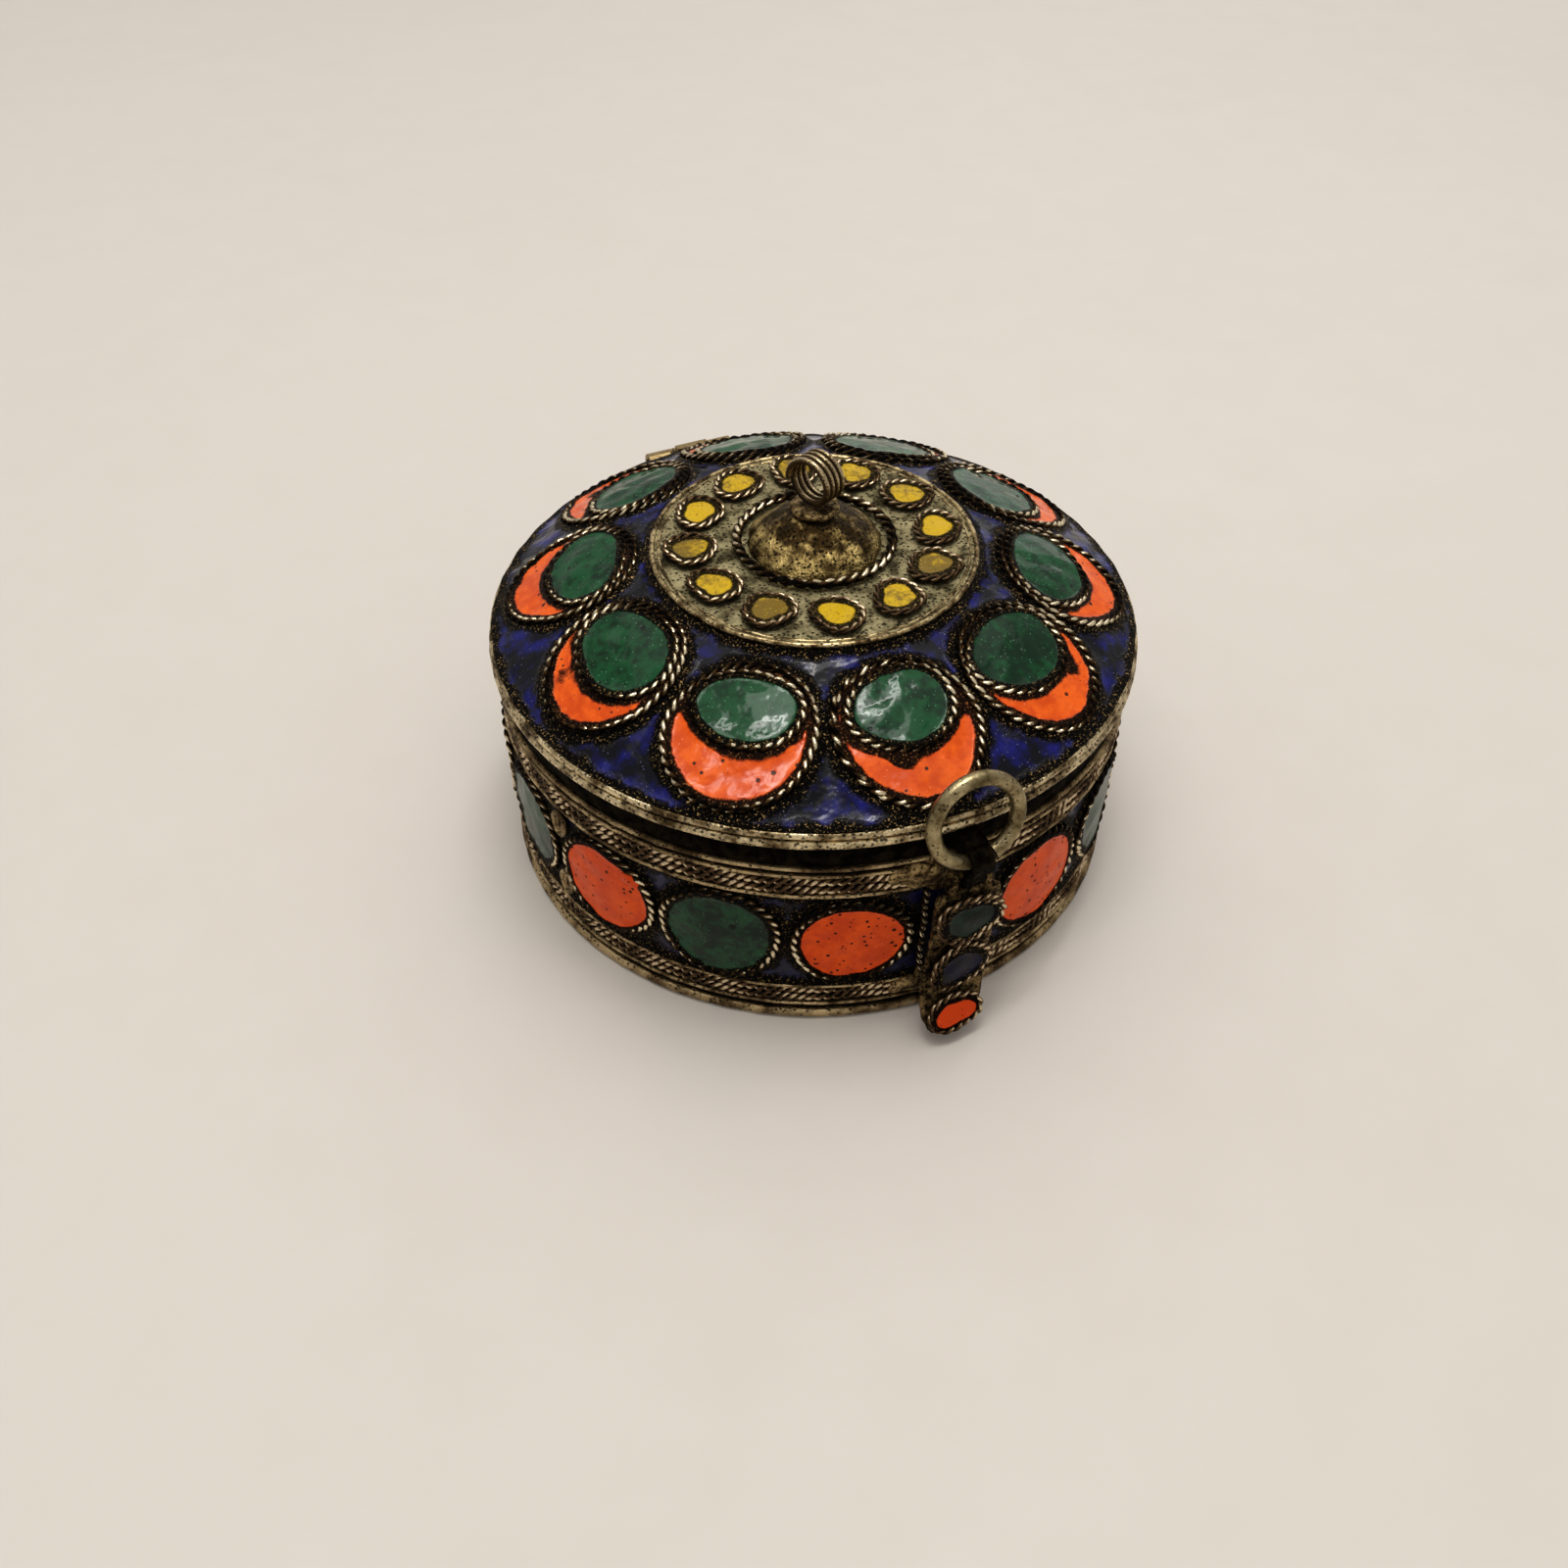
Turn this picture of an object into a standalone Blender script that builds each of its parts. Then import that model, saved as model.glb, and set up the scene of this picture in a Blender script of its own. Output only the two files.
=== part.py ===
# Round enamelled box: a drum with wire bands and oval enamel cells, a domed lid hinged at the
# back, and at the front a hasp and a pull ring that hang from one lug on the lid.
# Metres, +Z up. The origin is the centre of the underside, and the hasp faces -Y.

import math

import bmesh
import bpy
from mathutils import Matrix, Vector

# Drum
BODY_RADIUS = 0.0366
WALL_THICKNESS = 0.0012
FLOOR_THICKNESS = 0.0012
BASE_RIM_HEIGHT = 0.0016
LOWER_BAND_HEIGHT = 0.0043
ENAMEL_HEIGHT = 0.0143
UPPER_BAND_HEIGHT = 0.0049
NECK_HEIGHT = 0.0026

# Wires round the drum and the lid, measured outwards from the sheet they are soldered to
BASE_RIM_DEPTH = 0.0011
BAND_DEPTH = 0.0009
BAND_GROOVE = 0.0004
PLAIN_WIRE = 0.0007
LID_RIM_DEPTH = 0.0013
LID_RIM_UPPER_WIRE = 0.0009
LID_RIM_LOWER_WIRE = 0.0013

# Lid
LID_OVERHANG = 0.0001
LID_RISE = 0.0099
LID_EDGE_HEIGHT = 0.0020
LID_BULGE = 0.0011
LID_THICKNESS = 0.0012
FLANGE_DEPTH = 0.0030
FLANGE_THICKNESS = 0.0008

# Petals on the lid
PETAL_COUNT = 10
PETAL_START = math.radians(-5.8)
PETAL_WANDER = math.radians(2.1)
PETAL_WANDER_PHASE = math.radians(-66.5)
PETAL_OUTER_MARGIN = 0.0007
PETAL_INNER_MARGIN = 0.0014
PETAL_CLEARANCE = 0.0005
CRESCENT_DEPTH = 0.0049
CRESCENT_SIDE = 0.0019

# Plaque, boss and finial
PLAQUE_RADIUS = 0.0188
PLAQUE_THICKNESS = 0.0008
PLAQUE_EDGE_WIRE = 0.0010
PLAQUE_CELL_COUNT = 12
PLAQUE_CELL_CLEARANCE = 0.0003
BOSS_RADIUS = 0.0076
BOSS_RISE = 0.0039
BOSS_TOP_RADIUS = 0.0026
BOSS_FALL_POWER = 1.15
BOSS_ROPE_WIRE = 0.0011
BOSS_ROPE_CLEARANCE = 0.0007
COLLAR_RADIUS = 0.0035
COLLAR_HEIGHT = 0.0008
COIL_TURNS = 3
COIL_RADIUS = 0.0029
COIL_WIRE_RADIUS = 0.0005
COIL_AZIMUTH = math.radians(-75.0)

# Cells of enamel inside twisted wire
ROPE_WIDTH = 0.0010
ROPE_HEIGHT = 0.0010
FILL_HEIGHT = 0.0006
FILL_CROWN = 0.0003
CELLS_PER_SIDE = 7
FIRST_CELL_AZIMUTH = math.radians(18.0)
LAST_CELL_AZIMUTH = math.radians(152.4)
CELL_CLEARANCE = 0.0005
EYE_LOOP_PLACE = 2.5
EYE_LOOP_RISE = 0.70
EYE_LOOP_HALF_WIDTH = 0.0014
EYE_LOOP_WIRE = 0.0007
SEAM_POST_RADIUS = 0.0005

# Hasp, lug and pull ring
LUG_WIDTH = 0.0024
LUG_WALL = 0.0006
RING_RADIUS = 0.0051
RING_WIRE_RADIUS = 0.00085
RING_MOUTH = 0.0012
RING_BORE_CLEARANCE = 0.00035
RING_DROP = 0.0022
HASP_WIDTH = 0.0080
HASP_THICKNESS = 0.0022
HASP_STANDOFF = 0.0006
HASP_PIN_RADIUS = 0.0006
HASP_EYE_SPACING = 0.0027
HASP_EAR_WIDTH = 0.0011
HASP_EAR_RADIUS = 0.0013
HASP_FLOOR_CLEARANCE = 0.0013
HASP_FLARE = 0.0028
HASP_FLARE_HEIGHT = 0.0068
HASP_FLARE_POWER = 1.5
HASP_SWAY = 0.0018
HASP_TIP_SHARE = 0.35
HASP_EAR_DEPTH_SHARE = 0.7
HASP_CELL_FLARE_SHARE = 0.75
HASP_TIP_CELL_SHARE = 0.74

# Hinge at the back
HINGE_KNUCKLE_RADIUS = 0.0015
HINGE_KNUCKLE_LENGTH = 0.0034
HINGE_LID_KNUCKLE_LENGTH = 0.0044
HINGE_PIN_RADIUS = 0.0006
HINGE_LEAF_THICKNESS = 0.0010
HINGE_LEAF_HEIGHT = 0.0120

# Clearance between pieces that touch or turn in each other
GAP = 0.0003

# Facets
RING_SEGMENTS = 36
CELL_SEGMENTS = 12
SMALL_CELL_SEGMENTS = 10
BOSS_SEGMENTS = 24
BORE_SEGMENTS = 14
WIRE_SIDES = 6
RING_STATIONS = 27
COIL_STATIONS = 14
DOME_STATIONS = 5
HASP_STATIONS = 9
HASP_STATION_POWER = 1.8

# Levels and radii that follow from the sizes above
lower_band_base = BASE_RIM_HEIGHT
enamel_base = lower_band_base + LOWER_BAND_HEIGHT
upper_band_base = enamel_base + ENAMEL_HEIGHT
neck_base = upper_band_base + UPPER_BAND_HEIGHT
mouth = neck_base + NECK_HEIGHT
inner_radius = BODY_RADIUS - WALL_THICKNESS
lid_seat = mouth + GAP
lid_radius = BODY_RADIUS + LID_OVERHANG
lid_edge = lid_seat + LID_EDGE_HEIGHT
lid_top = lid_seat + LID_RISE
lid_flat_radius = PLAQUE_RADIUS - PLAQUE_EDGE_WIRE
rim_outer = lid_radius + LID_RIM_DEPTH
band_outer = BODY_RADIUS + BAND_DEPTH
plaque_base = lid_top + GAP
plaque_top = plaque_base + PLAQUE_THICKNESS
boss_base = plaque_top + GAP
boss_top = boss_base + BOSS_RISE
collar_base = boss_top + GAP
coil_centre = collar_base + COLLAR_HEIGHT + GAP + COIL_WIRE_RADIUS + COIL_RADIUS
cell_pitch = (LAST_CELL_AZIMUTH - FIRST_CELL_AZIMUTH) / (CELLS_PER_SIDE - 1)
cell_half_side = (BODY_RADIUS * cell_pitch - CELL_CLEARANCE) / 2
cell_half_up = (ENAMEL_HEIGHT - CELL_CLEARANCE) / 2

METAL = ("tarnished_brass", (0.33, 0.27, 0.17), 0.38, 1.0)
BLUE = ("blue_enamel", (0.010, 0.013, 0.075), 0.16, 0.0)
GREEN = ("green_enamel", (0.010, 0.10, 0.045), 0.12, 0.0)
ORANGE = ("orange_enamel", (0.72, 0.10, 0.012), 0.20, 0.0)
YELLOW = ("yellow_enamel", (0.62, 0.47, 0.02), 0.30, 0.0)


def clear_scene():
    for obj in list(bpy.data.objects):
        bpy.data.objects.remove(obj)


def make_collection(name):
    collection = bpy.data.collections.new(name)
    bpy.context.scene.collection.children.link(collection)
    return collection


def material(spec):
    name, colour, roughness, metallic = spec
    found = bpy.data.materials.get(name)
    if found:
        return found
    made = bpy.data.materials.new(name)
    made.use_nodes = True
    shader = made.node_tree.nodes["Principled BSDF"]
    shader.inputs["Base Color"].default_value = (*colour, 1.0)
    shader.inputs["Roughness"].default_value = roughness
    shader.inputs["Metallic"].default_value = metallic
    return made


def add_object(name, mesh, spec, collection=None):
    mesh.materials.append(material(spec))
    obj = bpy.data.objects.new(name, mesh)
    (collection or parts).objects.link(obj)
    return obj


def turned(name, profile, spec, segments=RING_SEGMENTS, closed=True):
    # The profile lies in the XZ plane and runs down its outer side.
    mesh = bpy.data.meshes.new(name)
    count = len(profile)
    edges = [(i, i + 1) for i in range(count - 1)]
    if closed:
        edges.append((count - 1, 0))
    mesh.from_pydata([(radius, 0.0, height) for radius, height in profile], edges, [])
    obj = add_object(name, mesh, spec)
    screw = obj.modifiers.new("Turn", "SCREW")
    screw.axis = "Z"
    screw.angle = math.tau
    screw.steps = segments
    screw.render_steps = segments
    screw.use_merge_vertices = True
    screw.merge_threshold = 0.00001
    screw.use_smooth_shade = True
    return obj


def lofted(name, rings, first_point, last_point, spec):
    # Rings of equally many points, closed at each end by a fan to one point.
    mesh = bpy.data.meshes.new(name)
    shape = bmesh.new()
    rows = [[shape.verts.new(point) for point in ring] for ring in rings]
    for low, high in zip(rows, rows[1:]):
        for i in range(len(low)):
            j = (i + 1) % len(low)
            shape.faces.new((low[i], low[j], high[j], high[i]))
    for row, point in ((rows[0], first_point), (rows[-1], last_point)):
        tip = shape.verts.new(point)
        for i in range(len(row)):
            shape.faces.new((row[i], row[(i + 1) % len(row)], tip))
    bmesh.ops.recalc_face_normals(shape, faces=shape.faces)
    shape.to_mesh(mesh)
    shape.free()
    mesh.shade_smooth()
    mesh.set_sharp_from_angle(angle=math.radians(50.0))
    return add_object(name, mesh, spec)


def solid_mesh(kind, matrix, collection, **sizes):
    # A cube, or a cylinder along its own Z, as a helper or as the start of a part.
    mesh = bpy.data.meshes.new(kind)
    shape = bmesh.new()
    if kind == "box":
        bmesh.ops.create_cube(shape, size=1.0)
        bmesh.ops.scale(shape, vec=sizes["size"], verts=shape.verts)
    else:
        bmesh.ops.create_cone(
            shape,
            cap_ends=True,
            segments=BORE_SEGMENTS,
            radius1=sizes["radius"],
            radius2=sizes["radius"],
            depth=sizes["length"],
        )
    bmesh.ops.transform(shape, matrix=matrix, verts=shape.verts)
    shape.to_mesh(mesh)
    shape.free()
    obj = bpy.data.objects.new(kind, mesh)
    collection.objects.link(obj)
    return obj


def box(x_range, y_range, z_range, collection):
    ranges = (x_range, y_range, z_range)
    centre = Vector([(low + high) / 2 for low, high in ranges])
    size = Vector([high - low for low, high in ranges])
    return solid_mesh("box", Matrix.Translation(centre), collection, size=size)


def bar(x_centre, y, z, radius, length, collection):
    # A cylinder whose axis lies along X.
    turn = Matrix.Rotation(math.pi / 2, 4, "Y")
    place = Matrix.Translation((x_centre, y, z))
    return solid_mesh("cylinder", place @ turn, collection, radius=radius, length=length)


def combine(name, start, joined, cut, spec):
    start.name = name
    start.data.name = name
    start.data.materials.append(material(spec))
    for operation, others in (("UNION", joined), ("DIFFERENCE", cut)):
        for other in others:
            other.hide_render = True
            other.display_type = "WIRE"
            step = start.modifiers.new(operation.title(), "BOOLEAN")
            step.operation = operation
            step.solver = "EXACT"
            step.object = other
    return start


def wire(name, points, radius, spec):
    # A plain wire along the points, as a curve with a round bevel.
    curve = bpy.data.curves.new(name, "CURVE")
    curve.dimensions = "3D"
    curve.bevel_depth = radius
    curve.bevel_resolution = (WIRE_SIDES - 4) // 2
    curve.use_fill_caps = True
    spline = curve.splines.new("POLY")
    spline.points.add(len(points) - 1)
    for target, point in zip(spline.points, points):
        target.co = (*point, 1.0)
    curve.materials.append(material(spec))
    obj = bpy.data.objects.new(name, curve)
    parts.objects.link(obj)
    return obj


def beaded(base, heights, sheet_radius, groove, crest):
    # Outer side of a stack of soldered wires, given from the top down, as a closed ring section.
    level = base + sum(heights)
    points = [(sheet_radius + GAP, level), (sheet_radius + groove, level)]
    for height in heights:
        points.append((sheet_radius + crest, level - height / 2))
        level -= height
        points.append((sheet_radius + groove, level))
    points.append((sheet_radius + GAP, level))
    return points


def direction(azimuth):
    return Vector((math.sin(azimuth), -math.cos(azimuth), 0.0))


def tangent(azimuth):
    return Vector((math.cos(azimuth), math.sin(azimuth), 0.0))


def dome_share(radius):
    return (radius - lid_flat_radius) / (lid_radius - lid_flat_radius)


def dome_height(radius):
    share = dome_share(radius)
    return lid_top + (lid_edge - lid_top) * share + LID_BULGE * 4.0 * share * (1.0 - share)


def dome_slope(radius):
    share = dome_share(radius)
    run = lid_radius - lid_flat_radius
    return ((lid_edge - lid_top) + LID_BULGE * 4.0 * (1.0 - 2.0 * share)) / run


def on_dome(azimuth, centre_radius):
    # Maps (sideways, outwards, above the sheet) near a place on the dome to a point.
    def place(side, out, above):
        flat = direction(azimuth) * (centre_radius + out) + tangent(azimuth) * side
        radius = flat.length
        slope = dome_slope(radius)
        length = math.hypot(slope, 1.0)
        flat *= (radius - above * slope / length) / radius
        return Vector((flat.x, flat.y, dome_height(radius) + above / length))

    return place


def on_wall(azimuth, height):
    # Maps (sideways, upwards, above the sheet) near a place on the drum's wall to a point.
    def place(side, up, above):
        spot = direction(azimuth + side / BODY_RADIUS) * (BODY_RADIUS + above)
        return Vector((spot.x, spot.y, height + up))

    return place


def on_plaque(azimuth, radius):
    def place(side, out, above):
        spot = direction(azimuth) * (radius + out) + tangent(azimuth) * side
        return Vector((spot.x, spot.y, plaque_top + above))

    return place


def on_plate(height, front):
    # Maps (sideways, upwards, off the plate) onto the front of the hasp, which faces -Y.
    def place(side, up, above):
        level = height + up
        return Vector((side - hasp_sway(level), -(front + above + hasp_flare(level)), level))

    return place


def oval(place, half_side, half_up, inset, above, segments, offset=0.0):
    return [
        place(
            (half_side - inset) * math.cos(turn),
            offset + (half_up - inset) * math.sin(turn),
            above,
        )
        for turn in (math.tau * i / segments for i in range(segments))
    ]


def enamel_cell(name, place, half_side, half_up, spec, segments=CELL_SEGMENTS):
    # One loop of twisted wire round a slightly crowned pool of enamel.
    low = GAP
    rings = [
        oval(place, half_side, half_up, 0.0, low, segments),
        oval(place, half_side, half_up, ROPE_WIDTH / 2, low + ROPE_HEIGHT, segments),
        oval(place, half_side, half_up, ROPE_WIDTH, low + FILL_HEIGHT, segments),
    ]
    crown = place(0.0, 0.0, low + FILL_HEIGHT + FILL_CROWN)
    return lofted(name, rings, place(0.0, 0.0, low), crown, spec)


def wire_loop(name, place, half_side, half_up, wire_width, spec):
    # An oval loop of plain wire lying on the wall, open in the middle.
    rings = [
        oval(place, half_side, half_up, 0.0, GAP, SMALL_CELL_SEGMENTS),
        oval(place, half_side, half_up, wire_width / 2, GAP + wire_width, SMALL_CELL_SEGMENTS),
        oval(place, half_side, half_up, wire_width, GAP, SMALL_CELL_SEGMENTS),
    ]
    mesh = bpy.data.meshes.new(name)
    shape = bmesh.new()
    rows = [[shape.verts.new(point) for point in ring] for ring in rings]
    rows.append(rows[0])
    for low, high in zip(rows, rows[1:]):
        for i in range(len(low)):
            j = (i + 1) % len(low)
            shape.faces.new((low[i], low[j], high[j], high[i]))
    bmesh.ops.recalc_face_normals(shape, faces=shape.faces)
    shape.to_mesh(mesh)
    shape.free()
    mesh.shade_smooth()
    return add_object(name, mesh, spec)


def make_drum():
    profile = [
        (0.0, FLOOR_THICKNESS),
        (inner_radius, FLOOR_THICKNESS),
        (inner_radius, mouth),
        (BODY_RADIUS, mouth),
        (BODY_RADIUS, 0.0),
        (0.0, 0.0),
    ]
    turned("drum", profile, BLUE, closed=False)


def make_bands():
    braid = (UPPER_BAND_HEIGHT - 2 * PLAIN_WIRE - GAP) / 2
    upper = (PLAIN_WIRE, braid, braid, PLAIN_WIRE)
    turned("upper_band", beaded(upper_band_base, upper, BODY_RADIUS, BAND_GROOVE, BAND_DEPTH), METAL)
    braid = (LOWER_BAND_HEIGHT - PLAIN_WIRE - GAP) / 2
    lower = (braid, braid, PLAIN_WIRE)
    turned("lower_band", beaded(lower_band_base, lower, BODY_RADIUS, BAND_GROOVE, BAND_DEPTH), METAL)
    foot = (BASE_RIM_HEIGHT - GAP,)
    turned("base_rim", beaded(0.0, foot, BODY_RADIUS, BAND_GROOVE, BASE_RIM_DEPTH), METAL)


def make_wall_cells():
    middle = enamel_base + ENAMEL_HEIGHT / 2
    number = 1
    for side in (-1, 1):
        for i in range(CELLS_PER_SIDE):
            azimuth = side * (FIRST_CELL_AZIMUTH + cell_pitch * i)
            place = on_wall(azimuth, middle)
            spec = GREEN if i % 2 else ORANGE
            enamel_cell(f"wall_cell_{number:02d}", place, cell_half_side, cell_half_up, spec)
            number += 1
    between = -(FIRST_CELL_AZIMUTH + cell_pitch * EYE_LOOP_PLACE)
    rise = cell_half_up * EYE_LOOP_RISE
    half_loop = ENAMEL_HEIGHT / 2 - GAP - rise
    for name, up in (("wall_loop_upper", rise), ("wall_loop_lower", -rise)):
        place = on_wall(between, middle + up)
        wire_loop(name, place, EYE_LOOP_HALF_WIDTH, half_loop, EYE_LOOP_WIRE, METAL)


def make_seam_post():
    # It stands beside the first cell, on the side of the hasp.
    beside = cell_half_side + GAP + SEAM_POST_RADIUS
    azimuth = beside / BODY_RADIUS - FIRST_CELL_AZIMUTH
    spot = direction(azimuth) * (BODY_RADIUS + GAP + SEAM_POST_RADIUS)
    low = enamel_base + GAP
    high = upper_band_base - GAP
    wire("seam_post", [(spot.x, spot.y, low), (spot.x, spot.y, high)], SEAM_POST_RADIUS, METAL)


def make_lid():
    run = lid_radius - lid_flat_radius
    outer = [lid_flat_radius + run * i / DOME_STATIONS for i in range(DOME_STATIONS + 1)]
    flange_outer = inner_radius - GAP
    flange_inner = flange_outer - FLANGE_THICKNESS
    profile = [(0.0, lid_top)]
    profile += [(radius, dome_height(radius)) for radius in outer]
    profile += [
        (lid_radius, lid_seat),
        (flange_outer, lid_seat),
        (flange_outer, lid_seat - FLANGE_DEPTH),
        (flange_inner, lid_seat - FLANGE_DEPTH),
    ]
    inner = [radius for radius in reversed(outer) if radius < flange_inner]
    profile += [(radius, dome_height(radius) - LID_THICKNESS) for radius in [flange_inner] + inner]
    profile.append((0.0, lid_top - LID_THICKNESS))
    turned("lid_dome", profile, BLUE, closed=False)
    heights = (LID_RIM_UPPER_WIRE, LID_RIM_LOWER_WIRE)
    turned("lid_rim", beaded(lid_seat, heights, lid_radius, BAND_DEPTH, LID_RIM_DEPTH), METAL)


def make_petals():
    pitch = math.tau / PETAL_COUNT
    inner_end = PLAQUE_RADIUS + PETAL_INNER_MARGIN
    outer_end = lid_radius - PETAL_OUTER_MARGIN
    centre = (inner_end + outer_end) / 2
    half_out = (outer_end - inner_end) / 2
    half_side = centre * math.sin(pitch / 2) - PETAL_CLEARANCE
    inside = ROPE_WIDTH + GAP
    small_out = half_out - (CRESCENT_DEPTH + inside) / 2
    small_side = half_side - CRESCENT_SIDE
    shift = (inside - CRESCENT_DEPTH) / 2
    crest = GAP + ROPE_HEIGHT
    fill = GAP + FILL_HEIGHT
    for i in range(PETAL_COUNT):
        wander = PETAL_WANDER * math.cos(pitch * i - PETAL_WANDER_PHASE)
        place = on_dome(PETAL_START + pitch * i + wander, centre)
        rings = [
            oval(place, half_side, half_out, 0.0, GAP, CELL_SEGMENTS),
            oval(place, half_side, half_out, ROPE_WIDTH / 2, crest, CELL_SEGMENTS),
            oval(place, half_side, half_out, ROPE_WIDTH, fill, CELL_SEGMENTS),
            oval(place, small_side, small_out, 0.0, fill, CELL_SEGMENTS, shift),
            oval(place, small_side, small_out, ROPE_WIDTH / 2, crest, CELL_SEGMENTS, shift),
            oval(place, small_side, small_out, ROPE_WIDTH, fill, CELL_SEGMENTS, shift),
        ]
        crown = place(0.0, shift, fill + FILL_CROWN)
        lofted(f"lid_petal_{i + 1:02d}", rings, place(0.0, 0.0, GAP), crown, GREEN)


def make_plaque():
    edge = PLAQUE_EDGE_WIRE
    profile = [
        (0.0, plaque_top),
        (PLAQUE_RADIUS - edge, plaque_top),
        (PLAQUE_RADIUS - edge / 2, plaque_top + edge / 2),
        (PLAQUE_RADIUS, plaque_top),
        (PLAQUE_RADIUS, plaque_base),
        (0.0, plaque_base),
    ]
    turned("plaque", profile, METAL, closed=False)
    # The cells stand against the edge wire, and each leaves a clearance to the next one.
    ring_outer = PLAQUE_RADIUS - PLAQUE_EDGE_WIRE - PLAQUE_CELL_CLEARANCE
    pitch = math.tau / PLAQUE_CELL_COUNT
    spread = math.sin(pitch / 2)
    half = ring_outer * spread / (1.0 + spread) - PLAQUE_CELL_CLEARANCE
    radius = ring_outer - half
    for i in range(PLAQUE_CELL_COUNT):
        place = on_plaque(pitch * (i + 0.5), radius)
        name = f"plaque_cell_{i + 1:02d}"
        enamel_cell(name, place, half, half, YELLOW, SMALL_CELL_SEGMENTS)


def make_boss():
    run = BOSS_RADIUS - BOSS_TOP_RADIUS
    turns = [math.pi / 2 * i / DOME_STATIONS for i in range(DOME_STATIONS + 1)]
    side = [
        (
            BOSS_TOP_RADIUS + run * math.sin(turn),
            boss_base + BOSS_RISE * math.cos(turn) ** BOSS_FALL_POWER,
        )
        for turn in turns
    ]
    profile = [(0.0, boss_top)] + side + [(0.0, boss_base)]
    turned("boss", profile, METAL, BOSS_SEGMENTS, closed=False)
    centre = BOSS_RADIUS + BOSS_ROPE_CLEARANCE + BOSS_ROPE_WIRE / 2
    radius = BOSS_ROPE_WIRE / 2
    section = [
        (centre + radius * math.sin(turn), plaque_top + GAP + radius + radius * math.cos(turn))
        for turn in (math.tau * (i + 0.5) / WIRE_SIDES for i in range(WIRE_SIDES))
    ]
    turned("boss_rope", section, METAL, BOSS_SEGMENTS)
    half = COLLAR_HEIGHT / 2
    collar = [
        (0.0, collar_base + COLLAR_HEIGHT),
        (COLLAR_RADIUS - half, collar_base + COLLAR_HEIGHT),
        (COLLAR_RADIUS, collar_base + half),
        (COLLAR_RADIUS - half, collar_base),
        (0.0, collar_base),
    ]
    turned("finial_collar", collar, METAL, BOSS_SEGMENTS, closed=False)


def make_coil():
    # Turns side by side, starting and ending at the foot of the coil.
    pitch = 2 * COIL_WIRE_RADIUS + GAP
    stations = COIL_TURNS * COIL_STATIONS
    axis = direction(COIL_AZIMUTH)
    across = tangent(COIL_AZIMUTH)
    points = []
    for i in range(stations + 1):
        turn = math.tau * i / COIL_STATIONS
        along = pitch * (turn / math.tau - COIL_TURNS / 2)
        spot = axis * along + across * COIL_RADIUS * math.sin(turn)
        points.append((spot.x, spot.y, coil_centre - COIL_RADIUS * math.cos(turn)))
    wire("finial_coil", points, COIL_WIRE_RADIUS, METAL)


# Places of the lug's two eyes, which carry the pull ring and the hasp
ring_bore = RING_WIRE_RADIUS + RING_BORE_CLEARANCE
ring_eye = ring_bore + LUG_WALL
ring_pivot_y = -(rim_outer + GAP + ring_eye)
ring_pivot_z = lid_seat - RING_DROP - GAP
hasp_bore = HASP_PIN_RADIUS + GAP
hasp_eye = hasp_bore + LUG_WALL
hasp_pivot_z = ring_pivot_z - HASP_EYE_SPACING
hasp_back = band_outer + HASP_STANDOFF
hasp_front = hasp_back + HASP_THICKNESS
hasp_pivot_y = -(hasp_back + HASP_THICKNESS / 2)
hasp_top = hasp_pivot_z - hasp_eye - GAP
ring_lean = math.atan2(
    -(rim_outer + GAP + RING_WIRE_RADIUS) - ring_pivot_y,
    lid_edge - ring_pivot_z,
)


def hasp_flare(level):
    # The tongue's tip bends outwards over the base rim.
    share = max(0.0, 1.0 - (level - HASP_FLOOR_CLEARANCE) / HASP_FLARE_HEIGHT)
    return HASP_FLARE * share**HASP_FLARE_POWER


def hasp_sway(level):
    # The tongue hangs a little askew, with its tip towards -X.
    share = (hasp_top - level) / (hasp_top - HASP_FLOOR_CLEARANCE)
    return HASP_SWAY * share**2


def hasp_half_width(level):
    # The tip is rounded, the rest is straight.
    half = HASP_WIDTH / 2
    rise = min(1.0, (level - HASP_FLOOR_CLEARANCE) / half)
    arc = math.sqrt(1.0 - (1.0 - rise) ** 2)
    return half * (HASP_TIP_SHARE + (1.0 - HASP_TIP_SHARE) * arc)


def make_lug():
    half = LUG_WIDTH / 2
    start = bar(0.0, ring_pivot_y, ring_pivot_z, ring_eye, LUG_WIDTH, parts)
    lower = bar(0.0, hasp_pivot_y, hasp_pivot_z, hasp_eye, LUG_WIDTH, cutters)
    # The root is soldered to the underside of the lid's rim, clear of the drum's neck.
    root_y = (ring_pivot_y, -(BODY_RADIUS + GAP))
    root = box((-half, half), root_y, (ring_pivot_z, lid_seat - GAP), cutters)
    web_y = (hasp_pivot_y - hasp_eye / 2, hasp_pivot_y + hasp_eye / 2)
    web = box((-half, half), web_y, (hasp_pivot_z, ring_pivot_z), cutters)
    bores = [
        bar(0.0, ring_pivot_y, ring_pivot_z, ring_bore, LUG_WIDTH * 2, cutters),
        bar(0.0, hasp_pivot_y, hasp_pivot_z, hasp_bore, LUG_WIDTH * 2, cutters),
    ]
    combine("hasp_lug", start, [lower, root, web], bores, METAL)


def make_ring():
    # The ring is drawn about its pivot, where its two ends meet the lug, then leant on the rim.
    opening = RING_MOUTH / RING_RADIUS / 2
    lean = Matrix.Rotation(ring_lean, 3, "X")
    pivot = Vector((0.0, ring_pivot_y, ring_pivot_z))
    points = []
    for i in range(RING_STATIONS + 1):
        turn = opening + (math.tau - 2 * opening) * i / RING_STATIONS
        flat = Vector((math.sin(turn), 0.0, 1.0 - math.cos(turn))) * RING_RADIUS
        points.append(pivot + lean.inverted() @ flat)
    wire("pull_ring", points, RING_WIRE_RADIUS, METAL)


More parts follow.
